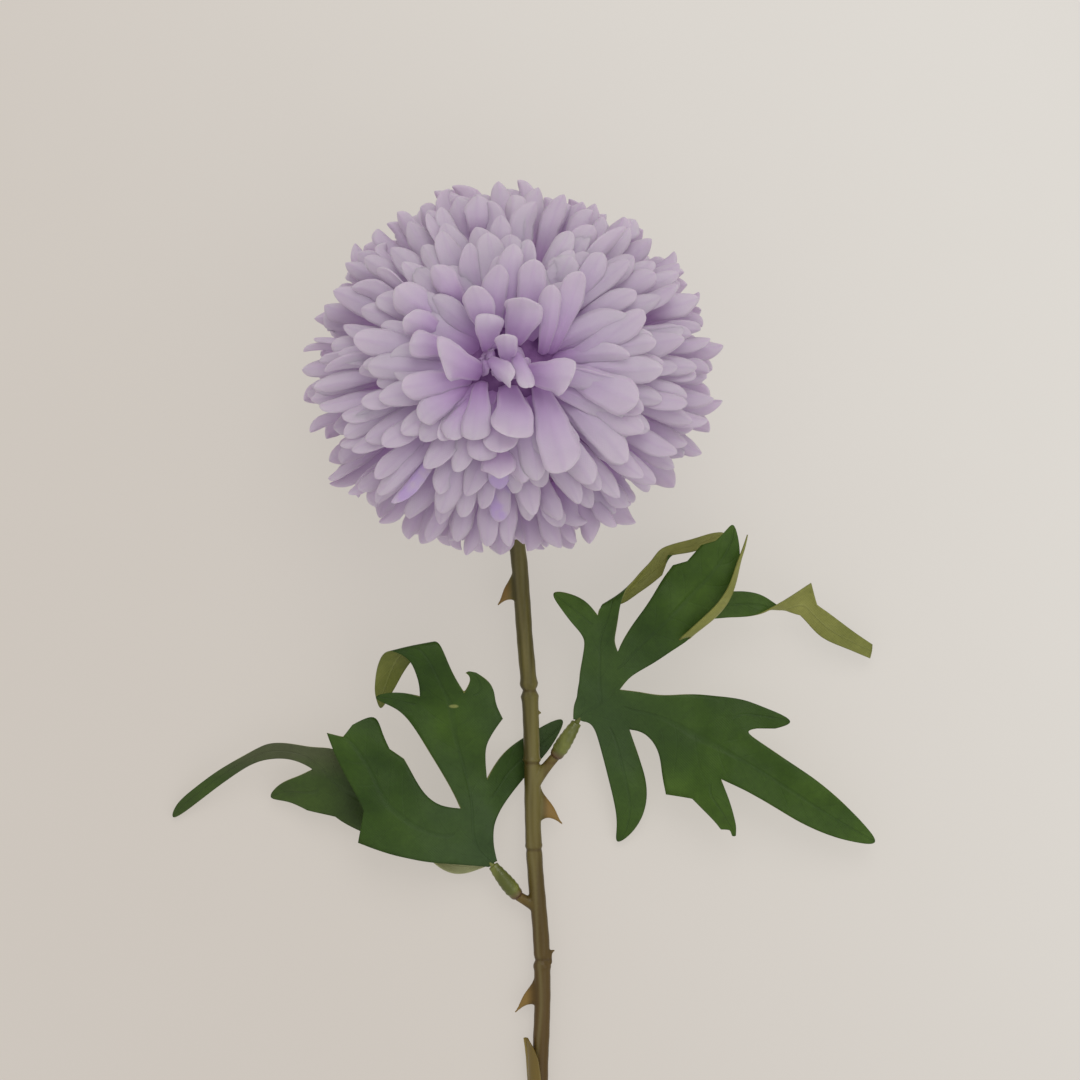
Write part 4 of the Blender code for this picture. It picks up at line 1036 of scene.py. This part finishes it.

# %% [markdown]
# ## Leaf fabric
# The leaves are stamped from woven fabric. Their face is a deep green, a little greyer near the
# stalk, with a pressed midrib and faint side veins that run to the edges. The back is a paler
# yellow green and shows wherever a lobe folds over. The UV map runs across and along each lobe, so
# the veins follow every lobe by themselves. Broad lighter and darker patches on both sides are
# painted sheen and shade. One sheet is mixed towards a paler, greyer colour, and on its back, where
# a fold lies in the shade of the front sheet, this paler colour is painted light. At one small spot
# the dye has come off.

# %% Leaf vein group
UV_LENGTH = 100.0  # millimetres along a lobe for one unit of the UV map
veined, vein_in, vein_out = node_group(
    "pressed veins", {"UV": None, "Spacing": 6.0, "Slant": 7.0},
    Midrib="Float", Side_veins="Float", Height="Float")
apart = split(vein_in["UV"])
from_rib = math_node("ABSOLUTE", linear(apart["X"], 2.0, -1.0))
midrib = one_minus(smooth_step(from_rib, 0.02, 0.11))
slant = product(vein_in["Slant"], -1.0)
slanted = linear(from_rib, slant, product(apart["Y"], UV_LENGTH))
turns = math_node("DIVIDE", slanted, vein_in["Spacing"])
wave = math_node("SINE", product(turns, math.tau))
faded = product(smooth_step(wave, 0.93, 1.0), smooth_step(from_rib, 1.0, 0.55))
pressed = linear(faded, -0.3, product(midrib, -1.0))
fill(vein_out, Midrib=midrib, Side_veins=faded, Height=pressed)

# %% Leaf materials
LEAF_FEET = ((-0.0045, -0.122, 0.008), (0.0165, -0.0865, 0.0095))
LEAF_FLECK = (-0.0141, -0.0824, 0.018)  # a small spot where the dye has come off
FLECK_COLOUR = (0.28, 0.30, 0.09)


def leaf_fabric(name, dark, light, vein_colour, near_stalk, paler_colour, press):
    """A side of the leaf fabric with its own greens and veins."""
    material, shader, place = new_material(name, Roughness=0.47, Specular_IOR_Level=0.26)
    dye = use_group(mottled, Vector=place, Scale=48.0, Dark=dark, Light=light, Contrast=1.7)
    # Painted sheen and shade: broad lighter and darker patches, as light catches the fabric's
    # waves.
    painted_sheen_patches = use_group(mottled, Vector=place, Scale=24.0, Dark=(0.70, 0.74, 0.66),
                      Light=(1.42, 1.30, 1.45), Contrast=2.2)
    reaches = [vector_node("DISTANCE", place, foot)["Value"] for foot in LEAF_FEET]
    near = smooth_step(math_node("MINIMUM", *reaches), 0.04, 0.004)
    green = tinted(dye["Color"], painted_sheen_patches["Color"])
    green = mix_colours(product(near, 0.6), green, near_stalk)
    veins = use_group(veined, UV=add_node("UVMap", tree=shader.id_data).outputs[0])
    for kind, strength in (("Midrib", 0.22), ("Side veins", 0.07)):
        green = mix_colours(product(veins[kind], strength), green, vein_colour)
    off = vector_node("SUBTRACT", place, LEAF_FLECK)[0]
    flat = vector_node("MULTIPLY", off, (1.0, 2.6, 0.3))[0]
    fleck = smooth_step(vector_node("LENGTH", flat)["Value"], 0.0015, 0.0007)
    green = mix_colours(product(fleck, 0.75), green, FLECK_COLOUR)
    # Paler colour on one sheet; on its back it is painted light, lifting a fold that lies in the
    # front sheet's shade.
    green = mix_colours(stored(shader, "paler_and_painted_light"), green, paler_colour)
    threads = vector_node("MULTIPLY", place, (1000.0, 1000.0, 1000.0))[0]
    cloth = use_group(woven, Vector=threads, Threads=1.5, Unevenness=0.8)
    shade = linear(cloth["Shade"], 0.35, 0.82)
    grey = add_node("CombineColor", Red=shade, Green=shade, Blue=shade).outputs[0]
    fill(shader, Base_Color=tinted(green, grey))
    height = linear(veins["Height"], press, product(cloth["Height"], 0.12))
    relief(shader, height, 0.5, 0.0003)
    print("material:", name)
    return material


leaf_face = leaf_fabric(
    "leaf face", (0.017, 0.048, 0.001), (0.048, 0.104, 0.008), (0.028, 0.058, 0.016),
    (0.040, 0.074, 0.026), (0.098, 0.098, 0.056), 1.0)
leaf_back = leaf_fabric(
    "leaf back", (0.142, 0.162, 0.028), (0.218, 0.240, 0.060), (0.25, 0.27, 0.09),
    (0.17, 0.20, 0.05), (0.44, 0.45, 0.26), -1.0)

# %% [markdown]
# ## The leaves
# A leaf is deeply lobed and its lobes bend, twist and fold, so it is drawn as a cage: rows of
# three points across each lobe, on its left edge, its rib and its right edge, from root to tip, in
# millimetres. A lobe that grows from another starts on some of that lobe's edge points. The cage
# is smoothed by subdivision, with the corners at the tips kept, and then given its thickness.

# %% Leaf cages
LEFT_TRUNK = [
    ((-5.5, -123, 8.2), (-4.5, -122, 8.4), (-3.5, -121.5, 8.2)),
    ((-15, -122, 11), (-8.5, -118, 9.5), (-4.5, -117.5, 9.5)),
    ((-14, -115, 12.5), (-10, -112.5, 10.5), (-4.5, -112, 10)),
    ((-12.5, -108, 13), (-10, -107, 11.5), (-5, -106.5, 9.5)),
    ((-15, -102.5, 14.5), (-11.5, -100, 13), (-6, -101, 11)),
    ((-18, -97.5, 16), (-12.5, -94.5, 14.5), (-6.5, -95, 14.5)),
    ((-21.5, -91.5, 17), (-14, -89.5, 16), (-6, -91, 16.5)),
    ((-26, -84.5, 18), (-14.5, -85, 17.5), (-2, -85.5, 17)),
    ((-24.5, -82, 18.5), (-15, -82.5, 18), (-4, -81.5, 18)),
    ((-22.5, -80, 19.5), (-16, -80, 19), (-8, -80, 19)),
    ((-22.5, -77, 20.5), (-17, -77, 20.5), (-11.5, -79, 20)),
    ((-23.5, -73.5, 22.5), (-19, -72.5, 22.5), (-14.5, -74, 22)),
    ((-25, -70, 24.5), (-21.5, -68.5, 25), (-16.5, -68.5, 24.5)),
    ((-30.5, -68, 22.5), (-24.5, -66.5, 23.5), (-18.2, -65.2, 23.5)),
    ((-32.5, -71, 19.5), (-28, -70, 20), (-23, -69, 20)),
    ((-33.5, -74.5, 16.5), (-30, -74, 17), (-26.5, -73.5, 17)),
    ((-34, -78.5, 14.5), (-31.5, -78.5, 14.5), (-29, -78.5, 15)),
    ((-33.5, -81, 13.5), (-32.5, -81.5, 13.5), (-31, -81.5, 13.5)),
    ((-32.5, -84, 13),),
]
LEFT_TOOTH = [
    ((-30, -82, 18.5), (-29, -80.5, 19), (-28, -78.5, 19)),
    ((-35.5, -80, 18.5),),
]
LEFT_EAR = [
    ((-10, -76.5, 20.5), (-7.5, -77.5, 20), (-4, -78.5, 19.5)),
    ((-10, -75, 21.5), (-8, -75, 21), (-5.5, -76, 20.5)),
    ((-11, -74, 22.5), (-10.5, -73.5, 22), (-8.5, -74, 21.5)),
]
LEFT_UNDER_STEM = [
    ((-4.5, -98, 8.5), (-3, -103, 8), (-2.5, -108, 7.5)),
    ((-1.5, -94, 5), (-0.5, -98.5, 4.5), (1, -103.5, 4.5)),
    ((3, -91, 2.3), (4, -95.5, 2.3), (4.5, -99.5, 2.3)),
    ((8, -88, 1.8), (8.5, -92, 1.8), (8, -96, 1.8)),
    ((11, -86.5, 1.8), (11.5, -89, 1.8), (11, -92, 1.8)),
    ((14, -86, 1.8),),
]
LEFT_BROAD = [
    ((-20, -121.5, 12.5), (-18.5, -115, 14), (-17.5, -107.5, 14)),
    ((-25.5, -120.5, 13.5), (-23.5, -112.5, 15.5), (-21.5, -104.5, 15.5)),
    ((-31.5, -119, 14), (-27.5, -110, 16.5), (-24.5, -99, 16)),
    ((-38, -116.5, 13.5), (-31.5, -105.5, 17), (-26.5, -95.5, 16)),
    ((-36.5, -108.5, 15.5), (-33.5, -101.5, 17.5), (-30, -93, 16.5)),
    ((-39, -103, 16.5), (-36, -96.5, 18), (-32, -89, 17)),
    ((-43, -96, 17), (-39.5, -92.5, 18), (-33.2, -83.8, 17.5)),
    ((-45.5, -89, 17.5), (-41.5, -90, 18), (-39.2, -87, 18)),
]
LEFT_REAR = [
    ((-5.5, -121.5, 8.2), (-5.5, -122, 8), (-5.5, -122.5, 8.2)),
    ((-8.5, -121.5, 7), (-8.5, -122.5, 6.8), (-8.5, -124, 7)),
    ((-12.5, -122, 6), (-13, -123.5, 6), (-13.5, -125.5, 6.5)),
    ((-16.5, -121.5, 5), (-17, -122, 5.5), (-18, -123.5, 6.5)),
    ((-21.5, -119, 3), (-22, -119, 6.5), (-22, -119, 10)),
    ((-28, -119, 3.5), (-27.5, -114, 7), (-27, -109, 10.5)),
    ((-35, -115.5, 5), (-35, -107.5, 8), (-35, -101, 9.5)),
    ((-41.5, -112.5, 6), (-40, -105, 9), (-40, -95.5, 9.5)),
    ((-44, -110.5, 6.5), (-43.5, -102.5, 9.5), (-43.5, -93.5, 9.5)),
    ((-47.5, -104.5, 8), (-46.5, -99, 9.5), (-46.5, -93, 9.5)),
    ((-49.5, -98.5, 9), (-49.5, -96, 9.5), (-50, -93, 10)),
    ((-53.5, -96, 9.5), (-54, -94, 10), (-54.5, -92, 10)),
    ((-59.5, -95.5, 9.5), (-60, -93.5, 10), (-60.5, -91.5, 10)),
    ((-65, -97, 8.5), (-65.5, -95.5, 9), (-65.5, -94.5, 9)),
    ((-71.5, -101.5, 6.5), (-72.5, -100, 7), (-73, -98.5, 7)),
    ((-78, -106.5, 4), (-79, -105, 4.5), (-79.5, -103.5, 4.5)),
    ((-82.5, -110, 2), (-83.5, -108.5, 2.3), (-84.5, -107.5, 2.3)),
    ((-86, -112, 1.2),),
]
LEFT_REAR_BRANCH = [
    ((-51, -109, 6), (-52, -104.5, 7.5), (-53.5, -100.5, 8.5)),
    ((-56, -106.5, 5), (-57, -104, 6), (-58, -102, 6.5)),
    ((-62, -106.5, 3.5),),
]
RIGHT_TRUNK = [
    ((15.5, -86, 9.5), (16.5, -86, 9.6), (18, -86.5, 9.5)),
    ((15.5, -82.5, 10.5), (18, -84, 10.3), (20.5, -87, 10)),
    ((16.5, -80.5, 11.3), (20, -83, 10.8), (25, -88, 10)),
    ((16.5, -78.5, 12), (22, -81.5, 11.2), (29.5, -88.5, 10.5)),
    ((17, -76.5, 12.5), (22, -79, 11.7), (28.5, -83.5, 11.5)),
    ((17, -75, 13), (22, -76, 12.2), (27, -78.5, 13)),
    ((17.5, -72, 13.7), (22, -73, 13), (26.5, -74, 14)),
    ((18, -69, 14.3), (22, -69.5, 13.7), (26.5, -69, 15)),
    ((18.5, -65.5, 15), (22, -66, 14.5), (25.5, -66.5, 15.3)),
    ((20.5, -62.5, 16), (23, -63, 15.5), (26, -64, 16)),
    ((21.5, -60, 16.9), (24.5, -60, 17), (26.5, -61, 17.3)),
    ((21.8, -58.4, 18.4), (25, -57, 18.7), (27, -57, 18.7)),
    ((23, -56.8, 17.4), (25.5, -55.2, 17.2), (28.5, -53.3, 17.6)),
    ((24.6, -57.2, 14.9), (27, -55.7, 14.4), (30.5, -51.5, 15.2)),
    ((27.5, -57.5, 13), (29.5, -54, 13.3), (32.5, -49, 14.2)),
    ((31, -55, 13), (32.5, -51.5, 13.5), (35, -46.5, 14)),
    ((34.5, -52.5, 13.5), (35.5, -49, 13.5), (36.5, -44, 14)),
    ((37.5, -50, 14), (38, -47, 13.5), (38, -43, 14)),
    ((39, -45, 14.5), (40, -44, 14), (41, -42, 14)),
    ((44.5, -44.5, 15), (44.5, -43, 14.5), (45.5, -41, 14.5)),
    ((49, -43, 15.5), (49, -41.5, 15), (49.5, -39.5, 15)),
    ((54.5, -39, 15.5),),
]
RIGHT_FRONT = [
    ((15.5, -62.5, 15.8), (17.5, -60, 16), (19, -56.5, 16.8)),
    ((12.5, -58.5, 16.5), (13.5, -57, 16.8), (15, -54.5, 17)),
    ((9, -53.5, 17.5),),
]
RIGHT_UPPER = [
    ((27.5, -66.5, 16), (30, -70, 14.8), (29.5, -75, 14.5)),
    ((30.5, -61.5, 17), (33.5, -66, 16), (34.5, -72.5, 15.5)),
    ((34, -57, 18), (38, -62, 17.2), (39.5, -69, 16.5)),
    ((37, -51.5, 19), (42.5, -57, 18.5), (45, -65.5, 17)),
    ((40, -47.5, 20), (46.5, -52.5, 19.5), (50, -62, 17.5)),
    ((43.5, -46.5, 20.5), (49.5, -49.5, 20.5), (53.5, -57.5, 18.5)),
    ((47, -42.5, 21), (52, -46, 21.3), (56, -52.5, 19.5)),
    ((50.5, -41.5, 21.5), (53.5, -43, 21.8), (56.5, -47.5, 20.5)),
    ((53.5, -38.5, 22), (55, -40, 22), (56.5, -42.5, 21.5)),
    ((55, -36.5, 22),),
]
RIGHT_CURL = [
    ((57.6, -43.5, 22), (57, -43.8, 22.6)),
    ((58.3, -40, 21.5),),
]
RIGHT_HEM = [
    ((56.5, -46.5, 22.5), (55.5, -51, 21.8), (54.5, -56, 20.8), (50.5, -60.5, 19.8),
     (44, -65, 18.6)),
    ((55.5, -47.5, 23.3), (54, -52.5, 23), (51.5, -56.5, 22.3), (48, -60, 21.3),
     (41.5, -66, 19.2)),
]
RIGHT_REAR = [
    ((45, -55.5, 17.6), (45, -58, 17.4), (44.5, -60.5, 17.0)),
    ((50, -54.5, 15.5), (49.5, -57.5, 15.3), (49, -61, 15)),
    ((54.5, -54, 13.5), (54, -57.5, 13.5), (53.5, -60.5, 13)),
    ((59, -54, 13), (59, -57, 13), (59, -60.5, 12.5)),
    ((63, -55, 13), (63, -57.5, 12.3), (62.5, -59.5, 13.5)),
    ((66, -57.5, 12), (66, -59.5, 12), (65, -58, 15)),
    ((70, -59.5, 11.5), (69, -58.5, 12.5), (68.5, -56, 15.5)),
    ((72, -60, 11), (72.5, -57, 12.5), (74.5, -52, 15)),
    ((74, -62, 10), (75, -59.5, 11.5), (76, -57.5, 13)),
    ((77.5, -66, 8.5), (79, -63.5, 9.5), (80, -60, 10.5)),
    ((83, -68, 6.5), (83.5, -66, 7), (84.5, -63.5, 7.5)),
    ((90, -71, 4), (90.5, -69, 4), (90.5, -67.5, 4)),
]
RIGHT_LONG = [
    ((32, -79, 14), (34, -84, 12.8), (33.5, -89, 12)),
    ((37, -80, 15), (38.5, -85, 14), (37, -93.5, 13.5)),
    ((42.5, -79.5, 16), (43, -86.5, 15), (37.5, -99.5, 14)),
    ((47, -79.5, 16.5), (46.5, -88.5, 15.8), (38.5, -104.5, 14)),
    ((51, -80, 17), (49.5, -90.5, 16.3), (45, -105.5, 14.5)),
    ((54.5, -84.5, 17), (52.5, -92.5, 16.5), (48.5, -103, 15.3)),
    ((57.5, -88.5, 17), (55, -94.5, 16.7), (52, -100.5, 16)),
    ((62, -91.5, 16.8), (60, -97.5, 16.2), (57.5, -103, 16)),
    ((68.5, -96, 16), (66.5, -101.5, 15), (64.5, -107, 15)),
    ((75.5, -100.5, 14), (74, -106.5, 13), (71.5, -111.5, 13)),
    ((82, -106, 11.5), (80.5, -111, 10.8), (79, -115, 10.5)),
    ((88, -112, 8), (87, -114.5, 7.6), (86, -117, 7.2)),
    ((93, -118, 5),),
]
RIGHT_LONG_UPPER = [
    ((57, -80.5, 17), (59, -84.5, 16.8), (61, -88, 16)),
    ((63.5, -83, 16), (64.5, -85, 16), (65.5, -88, 15)),
    ((71.5, -86.5, 14),),
]
RIGHT_LONG_LOWER = [
    ((53.5, -104, 15), (50.5, -106, 14.5), (47.5, -108, 13.5)),
    ((55, -108.5, 13), (53, -109.5, 13), (50.5, -111, 12)),
    ((55.8, -111.5, 11), (54.8, -112.7, 11), (52.2, -113.3, 10.5)),
    ((56.1, -113, 10.6), (55.4, -113.3, 10.5), (54.5, -113.4, 10.4)),
    ((56, -115, 9.6), (55.6, -115.2, 9.5), (55.1, -115, 9.5)),
]
RIGHT_DROOP = [
    ((30.5, -91.5, 10), (26.5, -92.5, 9.5), (22, -92, 9)),
    ((32.5, -97, 8.5), (27.5, -97.5, 9), (23.5, -97.5, 7.8)),
    ((34, -102.5, 7), (29, -103.5, 7.8), (25, -103.5, 6.5)),
    ((34, -108, 5), (30, -108.5, 6), (26.5, -110, 4.8)),
    ((31.5, -114, 3), (29, -114.5, 3.5), (26.5, -114.5, 3)),
    ((26, -118.5, 1.5),),
]

# Each lobe: its rows, the lobe it grows from, and on which of its edges and rows it starts
LEFT_BLADE = [
    (LEFT_TRUNK, None),
    (LEFT_BROAD, (0, "left", 1, 3)),
    (LEFT_TOOTH, (0, "left", 7, 9)),
    (LEFT_EAR, (0, "right", 8, 10)),
    (LEFT_UNDER_STEM, (0, "right", 2, 4)),
]
LEFT_REAR_BLADE = [(LEFT_REAR, None), (LEFT_REAR_BRANCH, (0, "left", 8, 10))]
RIGHT_BLADE = [
    (RIGHT_TRUNK, None),
    (RIGHT_FRONT, (0, "left", 8, 10)),
    (RIGHT_UPPER, (0, "right", 5, 7)),
    (RIGHT_HEM, (2, "right", 3, 7)),
    (RIGHT_CURL, (3, "left", 0, 1)),
    (RIGHT_LONG, (0, "right", 3, 5)),
    (RIGHT_LONG_UPPER, (5, "left", 4, 6)),
    (RIGHT_LONG_LOWER, (5, "right", 4, 6)),
    (RIGHT_DROOP, (0, "right", 1, 3)),
]
RIGHT_REAR_BLADE = [(RIGHT_REAR, None)]

# %% [markdown]
# Subdivision rounds every corner of the cage. Where the stamped edge has a real corner, or two
# lobes part in a sharp notch, the point is named here and gets a full crease.

# %% Sharp corners
SHARP_CORNERS = {
    (38.5, -104.5), (45, -105.5), (52.2, -113.3), (54.5, -113.4), (52, -100.5), (27, -78.5),
    (29.5, -88.5), (21.5, -60), (26.5, -69), (37.5, -50), (39, -45), (40, -47.5), (43.5, -46.5),
    (47, -42.5), (50.5, -41.5), (74.5, -52), (76, -57.5), (72, -60), (65.5, -88), (61, -88),
    (-11.5, -79), (-2, -85.5), (-22.5, -80), (-12.5, -108), (-6, -101), (-45.5, -89),
    (-41.5, -90), (-30, -93), (-26.5, -95.5), (-38, -116.5), (-36.5, -108.5), (-49.5, -98.5),
    (-51, -109), (-44, -110.5),
}
print(len(SHARP_CORNERS), "corners kept sharp")

# %% Blades


def blade_cage(lobes):
    """The points, faces and UV corners of a blade whose lobes share the points they grow from."""
    points, faces, corners, laid = [], [], [], []
    for rows, root in lobes:
        grid = []
        if root is not None:
            parent, edge, first, last = root
            run = [row[0 if edge == "left" else -1] for row in laid[parent][first:last + 1]]
            grid.append(run if edge == "left" else run[::-1])
        for row in rows:
            grid.append(list(range(len(points), len(points) + len(row))))
            points += row
        along = 0.0
        for near, far in zip(grid, grid[1:]):
            ribs = [np.array(points[row[len(row) // 2]]) for row in (near, far)]
            ahead = along + float(np.linalg.norm(ribs[1] - ribs[0])) / UV_LENGTH
            for column in range(len(near) - 1):
                u, next_u = column / (len(near) - 1), (column + 1) / (len(near) - 1)
                a, b = near[column], near[column + 1]
                corners += [(u, along), (next_u, along)]
                if len(far) == 1:
                    faces.append((a, b, far[0]))
                    corners.append((0.5, ahead))
                else:
                    faces.append((a, b, far[column + 1], far[column]))
                    corners += [(next_u, ahead), (u, ahead)]
            along = ahead
        laid.append(grid if root is None else grid[1:])
    return points, faces, corners


WAVES_PER_METRE = 70.0
WAVE_HEIGHT = 0.0016
LEAF_THICKNESS = 0.4
PALER_EDGES = ((-0.022, 0.006), (-0.103, 0.008))  # where the paler colour starts in x and in y, and its fade
LEAST_PALER = 0.25


def wave_at(place):
    """How far the fabric's gentle waves lift a place; they end where it touches the surface."""
    spot = Vector((place.x, place.y, 0.0)) * WAVES_PER_METRE
    wave = noise.noise(spot) + 0.4 * noise.noise(spot * 2.7)
    return WAVE_HEIGHT * wave * max(0.0, min(1.0, place.z / WAVE_HEIGHT / 4))


def paler_share_at(place):
    """The share of its paler colour that a sheet shows at a place; there is less in its lower
    corner.
    """
    shares = [(way - start) / fade for way, (start, fade) in zip(place, PALER_EDGES)]
    return min(1.0, max(LEAST_PALER, *shares))


def make_blade(name, lobes, node, paler_and_painted_light=0.0):
    """One sheet of a leaf, smoothed from its cage and given its thickness."""
    points, faces, corners = blade_cage(lobes)
    blade = make_piece(name, points, faces, [leaf_face, leaf_back], "leaves", [node])
    layer = blade.data.uv_layers.new(name="UVMap")
    layer.data.foreach_set("uv", np.array(corners, dtype=np.float32).ravel())
    sharp = [float(tuple(point[:2]) in SHARP_CORNERS) for point in points]
    store_share(blade, "crease_vert", sharp)
    smooth = blade.modifiers.new("smooth", "SUBSURF")
    smooth.levels = smooth.render_levels = 3
    smooth.boundary_smooth = "PRESERVE_CORNERS"
    applied(blade)
    for vert in blade.data.vertices:
        vert.co.z += wave_at(vert.co)
    thicken(blade, LEAF_THICKNESS, back_material=1)
    store_share(blade, "paler_and_painted_light", [paler_and_painted_light * paler_share_at(vert.co) for vert in blade.data.vertices])
    print(name, "has", len(blade.data.polygons), "faces")


make_blade("leaf_left_front", LEFT_BLADE, "leaf_left")
make_blade("leaf_left_rear", LEFT_REAR_BLADE, "leaf_left", paler_and_painted_light=0.62)
make_blade("leaf_right_front", RIGHT_BLADE, "leaf_right")
make_blade("leaf_right_rear", RIGHT_REAR_BLADE, "leaf_right")

# %% [markdown]
# ## Ribs under the leaves
# A thin moulded rib carries each leaf. It starts where the sleeve ends, runs along under the
# middle of the blade and gets thinner until it is lost in the fabric.

# %% Ribs
RIB_DROP = 0.75
RIB_RADII = (0.68, 0.2)
for side, rows in (("left", LEFT_TRUNK[1:8]), ("right", RIGHT_TRUNK[1:9])):
    middle = [np.array(row[1], dtype=float) - (0, 0, RIB_DROP) for row in rows]
    line = smooth_route([np.array(PEGS[side][3])] + middle, 0.8)
    line[:, 2] += [wave_at(Vector(place * MM)) / MM for place in line]
    rib = swept(line, np.linspace(*RIB_RADII, len(line)), 14)
    make_piece(f"leaf_rib_{side}", *rib, [sleeve_plastic], "leaves", [f"leaf_{side}"])
print("ribs made")

# %% [markdown]
# ## Last update
# The view layer is updated once more.

# %% Last update
bpy.context.view_layer.update()
